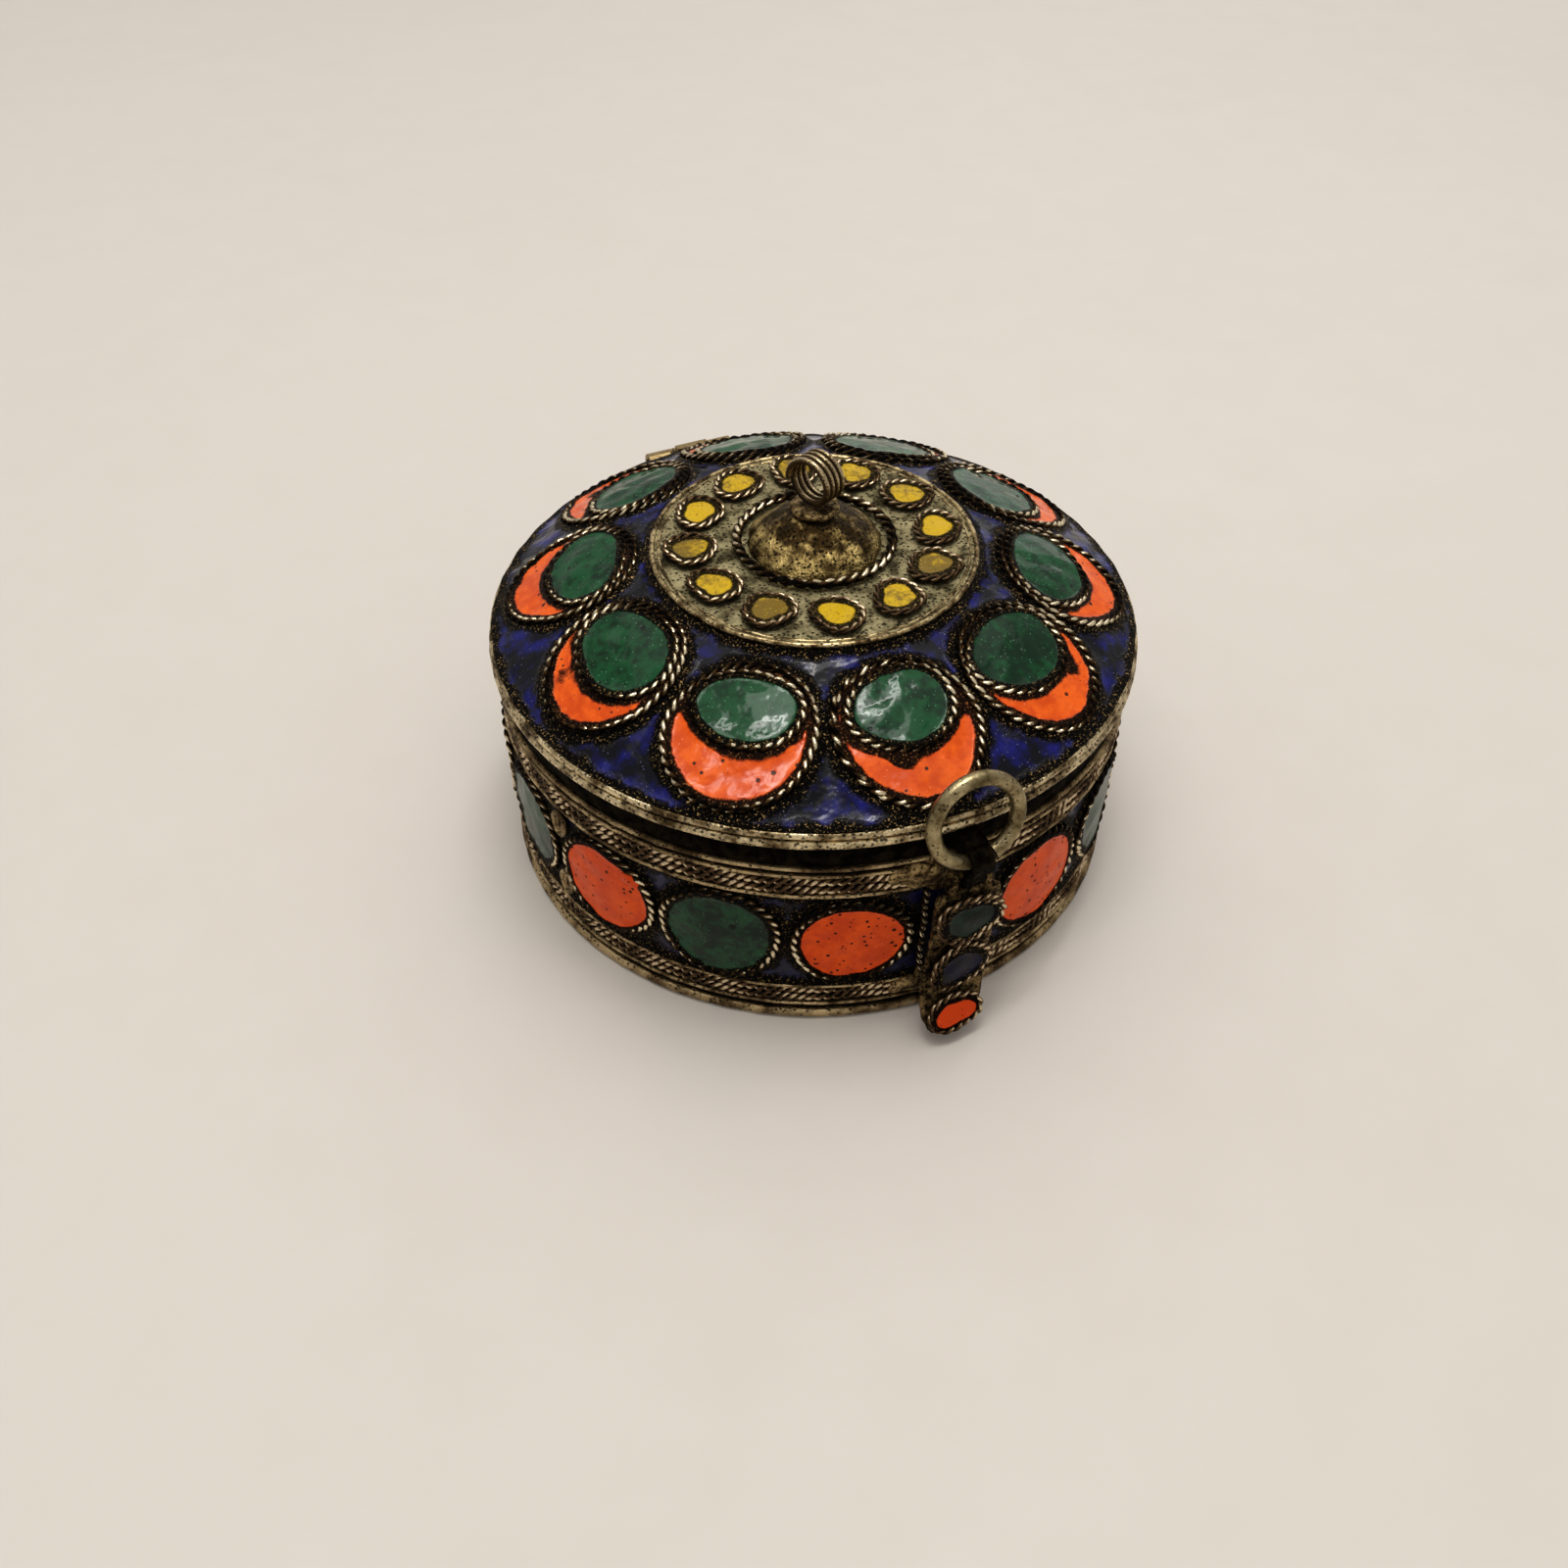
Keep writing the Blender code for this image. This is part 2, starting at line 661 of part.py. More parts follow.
def make_hasp():
    low = HASP_FLOOR_CLEARANCE
    shares = [(i / HASP_STATIONS) ** HASP_STATION_POWER for i in range(HASP_STATIONS + 1)]
    levels = [low + (hasp_top - low) * share for share in shares]
    rings = []
    for level in levels:
        half = hasp_half_width(level)
        left = -half - hasp_sway(level)
        right = half - hasp_sway(level)
        flare = hasp_flare(level)
        back = -(hasp_back + flare)
        front = -(hasp_front + flare)
        edge = HASP_THICKNESS / 4
        rings.append(
            [
                Vector((left, back, level)),
                Vector((right, back, level)),
                Vector((right, front + edge, level)),
                Vector((right - edge, front, level)),
                Vector((left + edge, front, level)),
                Vector((left, front + edge, level)),
            ]
        )
    ends = []
    for ring in (rings[0], rings[-1]):
        ends.append(sum(ring, Vector()) / len(ring))
    plate = lofted("hasp_plate", rings, ends[0], ends[1], METAL)
    joined = []
    ear_centre = LUG_WIDTH / 2 + GAP + HASP_EAR_WIDTH / 2
    foot = hasp_top - HASP_EAR_RADIUS
    for side in (-1, 1):
        middle = side * ear_centre
        span = (middle - HASP_EAR_WIDTH / 2, middle + HASP_EAR_WIDTH / 2)
        joined.append(bar(middle, hasp_pivot_y, hasp_pivot_z, HASP_EAR_RADIUS, HASP_EAR_WIDTH, cutters))
        reach = HASP_EAR_RADIUS * HASP_EAR_DEPTH_SHARE
        depth = (hasp_pivot_y - reach, hasp_pivot_y + reach)
        joined.append(box(span, depth, (foot, hasp_pivot_z), cutters))
    pin_length = 2 * ear_centre
    joined.append(bar(0.0, hasp_pivot_y, hasp_pivot_z, HASP_PIN_RADIUS, pin_length, cutters))
    combine("hasp_plate", plate, joined, [], METAL)


def make_hasp_cells():
    half_side = HASP_WIDTH / 2 - GAP / 2
    room = hasp_top - HASP_FLOOR_CLEARANCE - HASP_FLARE_HEIGHT * HASP_CELL_FLARE_SHARE
    half_up = room / 4 - GAP / 2
    upper = hasp_top - GAP / 2 - half_up
    lower = upper - 2 * half_up - GAP
    tip_top = lower - half_up - GAP
    tip_half = (tip_top - HASP_FLOOR_CLEARANCE - GAP) / 2
    tip = tip_top - tip_half
    tip_side = half_side * HASP_TIP_CELL_SHARE
    cells = (
        ("hasp_cell_upper", upper, half_side, half_up, GREEN),
        ("hasp_cell_lower", lower, half_side, half_up, BLUE),
        ("hasp_cell_tip", tip, tip_side, tip_half, ORANGE),
    )
    for name, level, side, up, spec in cells:
        enamel_cell(name, on_plate(level, hasp_front), side, up, spec)


def make_hinge():
    axis_y = rim_outer + GAP + HINGE_KNUCKLE_RADIUS
    axis_z = (mouth + lid_seat) / 2
    half_lid = HINGE_LID_KNUCKLE_LENGTH / 2
    knuckle = half_lid + GAP + HINGE_KNUCKLE_LENGTH / 2
    end = half_lid + GAP + HINGE_KNUCKLE_LENGTH
    bore = HINGE_PIN_RADIUS + GAP
    leaf_y = (band_outer + GAP, band_outer + GAP + HINGE_LEAF_THICKNESS)
    shoulder = axis_z - HINGE_KNUCKLE_RADIUS - GAP
    leaf = box((-end, end), leaf_y, (shoulder - HINGE_LEAF_HEIGHT, shoulder), parts)
    joined = []
    for side in (-1, 1):
        inner = side * (half_lid + GAP)
        span = (min(inner, side * end), max(inner, side * end))
        joined.append(bar(side * knuckle, axis_y, axis_z, HINGE_KNUCKLE_RADIUS, HINGE_KNUCKLE_LENGTH, cutters))
        joined.append(box(span, (leaf_y[0], axis_y), (shoulder - GAP, mouth - GAP), cutters))
    cut = [bar(0.0, axis_y, axis_z, bore, end * 4, cutters)]
    combine("box_hinge", leaf, joined, cut, METAL)
    hinge_pin = bar(0.0, axis_y, axis_z, HINGE_PIN_RADIUS, 2 * end, parts)
    combine("hinge_pin", hinge_pin, [], [], METAL)
    strap_y = (rim_outer + GAP, rim_outer + GAP + HINGE_LEAF_THICKNESS)
    strap_top = lid_seat + LID_RIM_UPPER_WIRE + LID_RIM_LOWER_WIRE
    strap = box((-half_lid, half_lid), strap_y, (axis_z, strap_top), cutters)
    barrel = bar(0.0, axis_y, axis_z, HINGE_KNUCKLE_RADIUS, HINGE_LID_KNUCKLE_LENGTH, parts)
    bore_again = bar(0.0, axis_y, axis_z, bore, end * 4, cutters)
    combine("lid_hinge", barrel, [strap], [bore_again], METAL)


clear_scene()
parts = make_collection("enamel_pill_box")
cutters = make_collection("cutters")
cutters.hide_render = True
make_drum()
make_bands()
make_wall_cells()
make_seam_post()
make_lid()
make_petals()
make_plaque()
make_boss()
make_coil()
make_lug()
make_ring()
make_hasp()
make_hasp_cells()
make_hinge()
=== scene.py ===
import math

import bpy
import numpy as np
from mathutils import Matrix, Vector


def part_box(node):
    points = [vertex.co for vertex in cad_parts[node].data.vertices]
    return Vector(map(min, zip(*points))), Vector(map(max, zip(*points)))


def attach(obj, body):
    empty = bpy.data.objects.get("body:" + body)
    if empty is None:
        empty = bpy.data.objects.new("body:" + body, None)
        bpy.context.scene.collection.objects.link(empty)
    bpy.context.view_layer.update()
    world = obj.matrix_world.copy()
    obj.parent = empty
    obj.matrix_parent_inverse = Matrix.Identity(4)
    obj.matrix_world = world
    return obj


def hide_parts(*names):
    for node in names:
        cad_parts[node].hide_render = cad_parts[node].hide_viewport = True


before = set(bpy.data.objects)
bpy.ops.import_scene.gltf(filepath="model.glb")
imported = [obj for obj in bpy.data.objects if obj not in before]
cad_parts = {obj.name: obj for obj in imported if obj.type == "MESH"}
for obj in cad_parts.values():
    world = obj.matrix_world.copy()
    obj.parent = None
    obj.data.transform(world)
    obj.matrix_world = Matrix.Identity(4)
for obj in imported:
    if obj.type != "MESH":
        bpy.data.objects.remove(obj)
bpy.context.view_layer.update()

# Sizes of the solids that the pieces here lie on, in metres. 0 degrees is the hasp's side.
drum = dict(radius=0.0366, wall=0.0012, floor=0.0012)
lid = dict(radius=0.0367, flat=0.0178, edge=0.0300, top=0.0379, bulge=0.0011, seat=0.0280,
           thickness=0.0012, flangeDepth=0.0030, flangeWall=0.0008)
cell = dict(gap=0.0003, rope=0.0010, fill=0.0006, crown=0.0003)
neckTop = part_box("drum")[1][2]
plaqueTop = 0.0390

photoSide = math.radians(-24.3)  # the photograph looks from here, left of the hasp


def way(azimuth):
    return np.stack((np.sin(azimuth), -np.cos(azimuth)), -1)


def across(azimuth):
    return np.stack((np.cos(azimuth), np.sin(azimuth)), -1)


def domeShare(radius):
    return (radius - lid["flat"]) / (lid["radius"] - lid["flat"])


def domeHeight(radius):
    share = domeShare(radius)
    return lid["top"] + (lid["edge"] - lid["top"]) * share + lid["bulge"] * 4 * share * (1 - share)


def domeSlope(radius):
    share = domeShare(radius)
    fall = lid["edge"] - lid["top"] + lid["bulge"] * 4 * (1 - 2 * share)
    return fall / (lid["radius"] - lid["flat"])


def raised(flat, height):
    # Flat points, each at its height
    height = np.broadcast_to(height, flat.shape[:-1])
    return np.concatenate((flat, height[..., None]), -1)


def liftOffDome(flat, above):
    radius = np.hypot(flat[..., 0], flat[..., 1])
    slope = domeSlope(radius)
    length = np.hypot(slope, 1)
    scale = (radius - above * slope / length) / radius
    height = domeHeight(radius) + above / length
    return raised(flat * scale[..., None], height)


# Each of these maps (sideways, up or outwards, off the sheet) to points, near one place
def domePlace(azimuth, centre):
    def place(side, out, above):
        side, out, above = np.broadcast_arrays(side, out, above)
        flat = (centre + out)[..., None] * way(azimuth) + side[..., None] * across(azimuth)
        return liftOffDome(flat, above)
    return place


def wallPlace(azimuth, height):
    def place(side, up, above):
        side, up, above = np.broadcast_arrays(side, up, above)
        flat = way(azimuth + side / drum["radius"]) * (drum["radius"] + above)[..., None]
        return raised(flat, height + up)
    return place


def plaquePlace(azimuth, centre):
    def place(side, out, above):
        side, out, above = np.broadcast_arrays(side, out, above)
        flat = (centre + out)[..., None] * way(azimuth) + side[..., None] * across(azimuth)
        return raised(flat, plaqueTop + above)
    return place


def ripple(points, size, seed, layers=9):
    # Smooth noise of about that size, between -1 and 1, as a sum of slanted waves
    rng = np.random.default_rng(seed)
    total = 0.0
    for layer in range(layers):
        heading = rng.normal(size=points.shape[-1])
        heading *= rng.uniform(0.6, 1.7) / np.linalg.norm(heading)
        total = total + np.sin(points @ heading * math.tau / size + rng.uniform(0, math.tau))
    return total / math.sqrt(layers) / 1.4


# ---- Meshes from arrays

def gridFaces(rows, columns, wrap=True, first=0):
    row, column = np.meshgrid(np.arange(rows - 1), np.arange(columns if wrap else columns - 1), indexing="ij")
    following = (column + 1) % columns
    corners = (row * columns + column, row * columns + following,
               (row + 1) * columns + following, (row + 1) * columns + column)
    return np.stack(corners, -1).reshape(-1, 4) + first


def fanFaces(ringStart, columns, tip):
    column = np.arange(columns)
    return np.stack((ringStart + column, np.full(columns, tip), ringStart + (column + 1) % columns), -1)


def capped(points, faces, rows, columns, tips):
    # Closes the first and the last row with a fan each, round the two tips
    points = np.concatenate((points, tips))
    first = fanFaces(0, columns, len(points) - 2)
    last = fanFaces((rows - 1) * columns, columns, len(points) - 1)[:, ::-1]
    return points, faces + [first, last]


def merged(pile):
    points, faces, values, count = [], [], {}, 0
    for somePoints, someFaces, someValues in pile:
        points.append(somePoints)
        faces += [list(face) for group in someFaces for face in (group + count).tolist()]
        for name, numbers in someValues.items():
            values.setdefault(name, []).append(numbers)
        count += len(somePoints)
    return np.concatenate(points), faces, {name: np.concatenate(each) for name, each in values.items()}


def addPiece(name, pile, finish, body, stands=()):
    points, faces, values = merged(pile)
    mesh = bpy.data.meshes.new(name)
    mesh.from_pydata(points.tolist(), [], faces)
    for label, numbers in values.items():
        held = mesh.attributes.new(label, "FLOAT", "POINT").data
        held.foreach_set("value", np.asarray(numbers, np.float32))
    mesh.shade_smooth()
    mesh.materials.append(finishes[finish])
    piece = bpy.data.objects.new(name, mesh)
    bpy.context.scene.collection.objects.link(piece)
    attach(piece, body)
    if stands:
        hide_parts(*stands)


def turnedPatch(profile, segments, closed, dent=0.0, dentSize=0.004, seed=1):
    # The profile, (radius, height), runs anticlockwise seen with the axis on the left
    profile = np.asarray(profile, float)
    turn = np.arange(segments) * math.tau / segments
    rows = []
    tips = {}
    for index, (radius, height) in enumerate(profile):
        if radius < 1e-7:
            tips[index] = height
            continue
        rows.append(raised(way(turn) * radius, height))
    points = np.concatenate(rows)
    if dent:
        points = points + unit(points * (1, 1, 0)) * (dent * ripple(points, dentSize, seed))[:, None]
        points[:, 2] += dent * 0.7 * ripple(points, dentSize, seed + 7)
    count = len(rows)
    faces = [gridFaces(count, segments)]
    if closed:
        low, high = gridFaces(2, segments)[:, :2], gridFaces(2, segments)[:, 2:]
        faces.append(np.concatenate((low + (count - 1) * segments, high - segments), 1))
    if 0 in tips:
        points = np.concatenate((points, [(0, 0, tips[0])]))
        faces.append(fanFaces(0, segments, len(points) - 1))
    if len(profile) - 1 in tips:
        points = np.concatenate((points, [(0, 0, tips[len(profile) - 1])]))
        faces.append(fanFaces((count - 1) * segments, segments, len(points) - 1)[:, ::-1])
    return outward((points, faces, {}))


def unit(vectors):
    return vectors / np.linalg.norm(vectors, axis=-1, keepdims=True)


def endSize(lead):
    # A ring's radius where a wire's end rounds off, as a share of the wire's
    return np.sqrt(np.maximum(1 - lead ** 2, 0.0025))


def tubePatch(path, radius, sides, closed=False, flatStart=False):
    # A plain wire along the path, with a frame that turns as little as it can; its ends are round
    path = np.asarray(path, float)
    radii = np.full(len(path), radius, float)
    if not closed:
        roundEnd = np.array([0.38, 0.7, 0.92, 1.0])  # how far on its rings lie, in radii
        startLead = np.array([0.09, 0.08, 0.05, 0.01]) if flatStart else roundEnd[::-1]
        startSize = np.array([0.90, 0.93, 0.98, 1.0]) if flatStart else endSize(startLead)
        start = path[0] + radius * startLead[:, None] * unit(path[0] - path[1])
        end = path[-1] + radius * roundEnd[:, None] * unit(path[-1] - path[-2])
        path = np.concatenate((start, path, end))
        radii = np.concatenate((startSize * radius, radii, endSize(roundEnd) * radius))
    heading = np.roll(path, -1, 0) - np.roll(path, 1, 0)
    if not closed:
        heading[0], heading[-1] = path[1] - path[0], path[-1] - path[-2]
    heading = unit(heading)
    normal = np.cross(heading[0], (0.3, 0.2, 0.9))
    rings = []
    turn = np.arange(sides) * math.tau / sides
    for point, forward, size in zip(path, heading, radii):
        normal = unit(normal - forward * np.dot(normal, forward))
        other = np.cross(forward, normal)
        rings.append(point + size * (np.cos(turn)[:, None] * normal + np.sin(turn)[:, None] * other))
    points = np.concatenate(rings)
    count = len(rings)
    faces = [gridFaces(count, sides)]
    if closed:
        faces.append(joinRings(rings, sides))
    else:
        points, faces = capped(points, faces, count, sides, path[[0, -1]])
    return outward((points, faces, {}))


def joinRings(rings, sides):
    # Closes the last ring onto the first, at the turn that leaves the least twist
    last, first = rings[-1], rings[0]
    shift = min(range(sides), key=lambda step: np.linalg.norm(last - np.roll(first, -step, 0)))
    base = (len(rings) - 1) * sides
    column = np.arange(sides)
    following = (column + 1) % sides
    corners = (base + column, base + following, (following + shift) % sides, (column + shift) % sides)
    return np.stack(corners, -1)


def outward(patch):
    # Turns a closed patch's faces round where they point inwards
    points, faces, values = patch
    total = 0.0
    for group in faces:
        for corner in range(1, group.shape[1] - 1):
            a, b, c = points[group[:, 0]], points[group[:, corner]], points[group[:, corner + 1]]
            total += np.einsum("ij,ij->i", a, np.cross(b, c)).sum()
    return patch if total > 0 else (points, [group[:, ::-1] for group in faces], values)


# ---- Node trees: a socket that can be added and multiplied, and a board to set nodes on

class Signal:
    def __init__(self, board, node, output):
        self.board, self.node, self.output = board, node, output

    def of(self, output):
        return Signal(self.board, self.node, output)

    def link(self):
        return self.node.outputs[self.output]

    def __add__(self, other):
        return self.board.sum("ADD", self, other)

    def __mul__(self, other):
        return self.board.sum("MULTIPLY", self, other)

    def __sub__(self, other):
        return self.board.sum("SUBTRACT", self, other)

    def __rsub__(self, other):
        return self.board.sum("SUBTRACT", other, self)

    def __truediv__(self, other):
        return self.board.sum("DIVIDE", self, other)

    __radd__ = __add__
    __rmul__ = __mul__

    def rise(self, low, high):
        # 0 at low and below, 1 at high, with a soft start and end
        return self.board.add("ShaderNodeMapRange", {"interpolation_type": "SMOOTHSTEP"},
                              {"Value": self, "From Min": low, "From Max": high})


class Board:
    def __init__(self, tree):
        self.tree = tree
        tree.nodes.clear()

    def add(self, kind, settings=None, values=None, output=0):
        node = self.tree.nodes.new(kind)
        for key, value in (settings or {}).items():
            setattr(node, key, value)
        for key, value in (values or {}).items():
            if isinstance(value, Signal):
                self.tree.links.new(value.link(), node.inputs[key])
            else:
                node.inputs[key].default_value = value
        return Signal(self, node, output)

    def sum(self, operation, first, second=0.0):
        return self.add("ShaderNodeMath", {"operation": operation}, {0: first, 1: second})

    def vector(self, operation, first, second=None, output=0):
        values = {0: first} if second is None else {0: first, 1: second}
        return self.add("ShaderNodeVectorMath", {"operation": operation}, values, output)

    def mix(self, share, first, second):
        return self.add("ShaderNodeMix", {"data_type": "RGBA"}, {0: share, 6: first, 7: second}, 2)

    def noise(self, where, size, detail=3.0, rough=0.55):
        return self.add("ShaderNodeTexNoise", {},
                        {"Vector": where, "Scale": 1 / size, "Detail": detail, "Roughness": rough})

    def spots(self, where, size):
        return self.add("ShaderNodeTexVoronoi", {}, {"Vector": where, "Scale": 1 / size})

    def channel(self, spots, name):
        return self.add("ShaderNodeSeparateColor", {}, {"Color": spots.of("Color")}, name)

    def attribute(self, name):
        return self.add("ShaderNodeAttribute", {"attribute_name": name}, output="Fac")

    def bump(self, height, depth):
        return self.add("ShaderNodeBump", {}, {"Height": height, "Distance": depth, "Strength": 1.0})


def newMaterial(name):
    material = bpy.data.materials.new(name)
    material.use_nodes = True
    board = Board(material.node_tree)
    return material, board, board.add("ShaderNodeTexCoord", output="Object")


def surfaced(board, **values):
    names = dict(colour="Base Color", roughness="Roughness", metallic="Metallic", ior="IOR", normal="Normal")
    shader = board.add("ShaderNodeBsdfPrincipled", {}, {names[key]: value for key, value in values.items()})
    board.add("ShaderNodeOutputMaterial", {}, {"Surface": shader})


def rgb(red, green, blue):
    # A colour as a picture program shows it, 0 to 255, to Blender's own scale
    return tuple((value / 255 / 12.92) if value < 10.3 else ((value / 255 + 0.055) / 1.055) ** 2.4
                 for value in (red, green, blue)) + (1.0,)


# ---- Finishes

# groove is painted shade in the grooves between strands, crest the colour of a painted highlight on the strand
# tops
ropeLook = dict(groove=rgb(14, 10, 7), middle=rgb(82, 64, 42), crest=rgb(232, 218, 186),
                roughCrest=0.26, roughGroove=0.66, low=0.46, high=0.80, patchy=0.50)
metalLook = dict(
    plaque=dict(dark=rgb(34, 28, 18), middle=rgb(128, 119, 90), light=rgb(184, 174, 138), rough=0.58,
                pit=0.00046, pitShare=0.80, grain=0.00026, depth=0.00016, patch=0.0022),
    plaqueEdge=dict(dark=rgb(30, 22, 13), middle=rgb(112, 92, 62), light=rgb(214, 194, 150), rough=0.34,
                    pit=0.00050, pitShare=0.6, grain=0.00026, depth=0.00008, patch=0.0016),
    rim=dict(dark=rgb(26, 19, 12), middle=rgb(122, 102, 70), light=rgb(236, 218, 178), rough=0.28,
             pit=0.00046, pitShare=0.80, grain=0.00026, depth=0.00014, patch=0.0027),
    boss=dict(dark=rgb(26, 19, 11), middle=rgb(94, 76, 47), light=rgb(206, 182, 122), rough=0.34,
              pit=0.00042, pitShare=0.60, grain=0.00034, depth=0.00034, patch=0.0021, film=(0.0404, 0.0424)),
    ring=dict(dark=rgb(44, 35, 21), middle=rgb(132, 118, 86), light=rgb(182, 168, 132), rough=0.34,
              pit=0.00044, pitShare=0.26, grain=0.00034, depth=0.00006, patch=0.0030),
    band=dict(dark=rgb(38, 29, 20), middle=rgb(116, 96, 68), light=rgb(198, 176, 136), rough=0.38,
              pit=0.00045, pitShare=0.55, grain=0.00026, depth=0.00010, patch=0.0032),
    solder=dict(dark=rgb(26, 20, 13), middle=rgb(92, 74, 48), light=rgb(186, 162, 118), rough=0.46,
                pit=0.00040, pitShare=0.70, grain=0.00030, depth=0.00022, patch=0.0011),
    # Near-black metal that is painted shade, for sheets and parts that sit only in shadow
    paintedShade=dict(dark=rgb(6, 5, 4), middle=rgb(17, 13, 9), light=rgb(44, 36, 24), rough=0.62,
               pit=0.00035, pitShare=0.75, grain=0.00016, depth=0.00014, patch=0.0016),
    tongue=dict(dark=rgb(8, 6, 5), middle=rgb(42, 34, 23), light=rgb(146, 124, 86), rough=0.50,
                pit=0.00040, pitShare=0.75, grain=0.00030, depth=0.00022, patch=0.0010),
    sheet=dict(dark=rgb(62, 50, 32), middle=rgb(134, 115, 80), light=rgb(166, 147, 108), rough=0.42,
               pit=0.0011, pitShare=0.3, grain=0.0006, depth=0.00004, patch=0.0090),
)


def metalFinish(name, look):
    material, board, where = newMaterial(name)
    broad = board.noise(where, look["patch"], 4.0, 0.6)
    fine = board.noise(where, look["grain"], 3.0, 0.6)
    holes = board.spots(where, look["pit"])
    picked = board.channel(holes, "Red").rise(1 - look["pitShare"], 1.02 - look["pitShare"])
    pits = holes.rise(0.46, 0.20) * picked
    if "film" in look:  # brown film over the higher part, between these two heights
        broad = broad - board.add("ShaderNodeSeparateXYZ", {}, {0: where}, 2).rise(*look["film"]) * 0.14
    worn = broad.rise(0.36, 0.66)
    colour = board.mix(worn, look["middle"], look["light"])
    colour = board.mix(fine.rise(0.50, 0.72) * 0.55, colour, look["dark"])
    colour = board.mix(broad.rise(0.50, 0.30) * 0.6, colour, look["dark"])
    colour = board.mix(pits * 0.85, colour, look["dark"])
    relief = fine * 0.6 - pits
    surfaced(board, colour=colour, roughness=look["rough"] + (1 - worn) * 0.14 + pits * 0.25,
             metallic=1 - pits * 0.35, normal=board.bump(relief, look["depth"]))
    return material


# Braided and coiled wire get their own painted groove shade and painted highlight colours
braidLook = dict(groove=rgb(24, 17, 12), middle=rgb(112, 90, 66), crest=rgb(214, 194, 162),
                 roughCrest=0.30, roughGroove=0.60, low=0.34, high=0.76, patchy=0.22)
coilLook = dict(groove=rgb(8, 6, 4), middle=rgb(84, 69, 48), crest=rgb(206, 186, 150),
                roughCrest=0.24, roughGroove=0.55, low=0.30, high=0.88, patchy=0.24)


def ropeFinish(name, look):
    material, board, where = newMaterial(name)
    # The crest value runs from painted shade low in the grooves to painted light on the strand tops
    crest = board.attribute("crest")
    broad = board.noise(where, 0.0035, 3.0)
    fine = board.noise(where, 0.00022, 2.0)
    shown = crest + (broad - 0.5) * look["patchy"] + (fine - 0.5) * 0.35
    colour = board.mix(shown.rise(look["low"], look["low"] + 0.34), look["groove"], look["middle"])
    # Painted highlight: the highest, up-facing strand tops turn near white
    paintedHighlight = shown.rise(look["high"], look["high"] + 0.15)
    colour = board.mix(paintedHighlight, colour, look["crest"])
    rough = look["roughGroove"] - paintedHighlight * (look["roughGroove"] - look["roughCrest"])
    surfaced(board, colour=colour, roughness=rough, metallic=shown.rise(0.2, 0.5) * 0.6 + 0.4,
             normal=board.bump(fine, 0.00003))
    return material


glass = dict(rough=0.22, mottle=0.0012, fleckSize=0.00036, fleckShare=0.14, pitSize=0.0013, pitShare=0.35,
             pitReach=(0.06, 0.14), wave=0.00012, stray=1.0, ior=1.42)  # where a shade says nothing else
darkGlass = dict(glass, soot=rgb(9, 8, 7), crumb=rgb(160, 134, 88), fleckSize=0.00040, sootReach=0.00020,
                 wave=0.00010, ior=1.25)
enamelLook = dict(
    green=dict(glass, deep=rgb(9, 44, 24), light=rgb(22, 80, 45), fleck=rgb(104, 160, 118),
               soot=rgb(14, 13, 9), crumb=rgb(170, 142, 94), rough=0.10, mottle=0.0011, fleckShare=0.20,
               pitSize=0.0032, pitShare=0.20, sootReach=0.00026),
    wallGreen=dict(glass, deep=rgb(8, 32, 20), light=rgb(27, 73, 44), fleck=rgb(90, 130, 100),
                   soot=rgb(12, 11, 8), crumb=rgb(140, 118, 78), mottle=0.0011, pitSize=0.0032, pitShare=0.20,
                   sootReach=0.00042, wave=0.00008, ior=1.34),
    orange=dict(glass, deep=rgb(210, 80, 16), light=rgb(238, 106, 26), fleck=rgb(246, 140, 92),
                soot=rgb(30, 17, 10), crumb=rgb(150, 104, 60), rough=0.13, mottle=0.0013, fleckSize=0.0005,
                fleckShare=0.10, pitReach=(0.07, 0.17), pitShare=0.65, sootReach=0.00036, wave=0.00010),
    wallOrange=dict(glass, deep=rgb(204, 70, 12), light=rgb(226, 88, 18), fleck=rgb(236, 120, 78),
                    soot=rgb(24, 15, 9), crumb=rgb(120, 84, 50), rough=0.30, mottle=0.0015, fleckSize=0.0005,
                    fleckShare=0.08, pitReach=(0.09, 0.19), pitSize=0.0009, pitShare=0.95, sootReach=0.00024,
                    wave=0.00007, ior=1.28),
    yellow=dict(glass, deep=rgb(122, 98, 20), light=rgb(204, 168, 6), fleck=rgb(240, 226, 60),
                soot=rgb(46, 38, 20), crumb=rgb(160, 138, 84), rough=0.34, mottle=0.0006, fleckSize=0.0003,
                pitSize=0.0005, pitShare=0.80, sootReach=0.00040, stray=0.45),
    blue=dict(glass, deep=rgb(3, 3, 12), light=rgb(25, 27, 112), fleck=rgb(120, 120, 160),
              soot=rgb(12, 10, 9), crumb=rgb(186, 156, 104), rough=0.13, mottle=0.0019, fleckShare=0.18,
              pitSize=0.0011, sootReach=0.00090, wave=0.00015),
    wallBlue=dict(glass, deep=rgb(7, 6, 16), light=rgb(21, 22, 64), fleck=rgb(84, 80, 96), soot=rgb(9, 8, 7),
                  crumb=rgb(150, 124, 80), rough=0.24, mottle=0.0017, fleckSize=0.00040, fleckShare=0.12,
                  sootReach=0.00120),
    darkBlue=dict(darkGlass, deep=rgb(4, 4, 14), light=rgb(15, 16, 46), fleck=rgb(84, 84, 96)),
    darkGreen=dict(darkGlass, deep=rgb(4, 14, 9), light=rgb(18, 44, 30), fleck=rgb(90, 110, 90)),
)


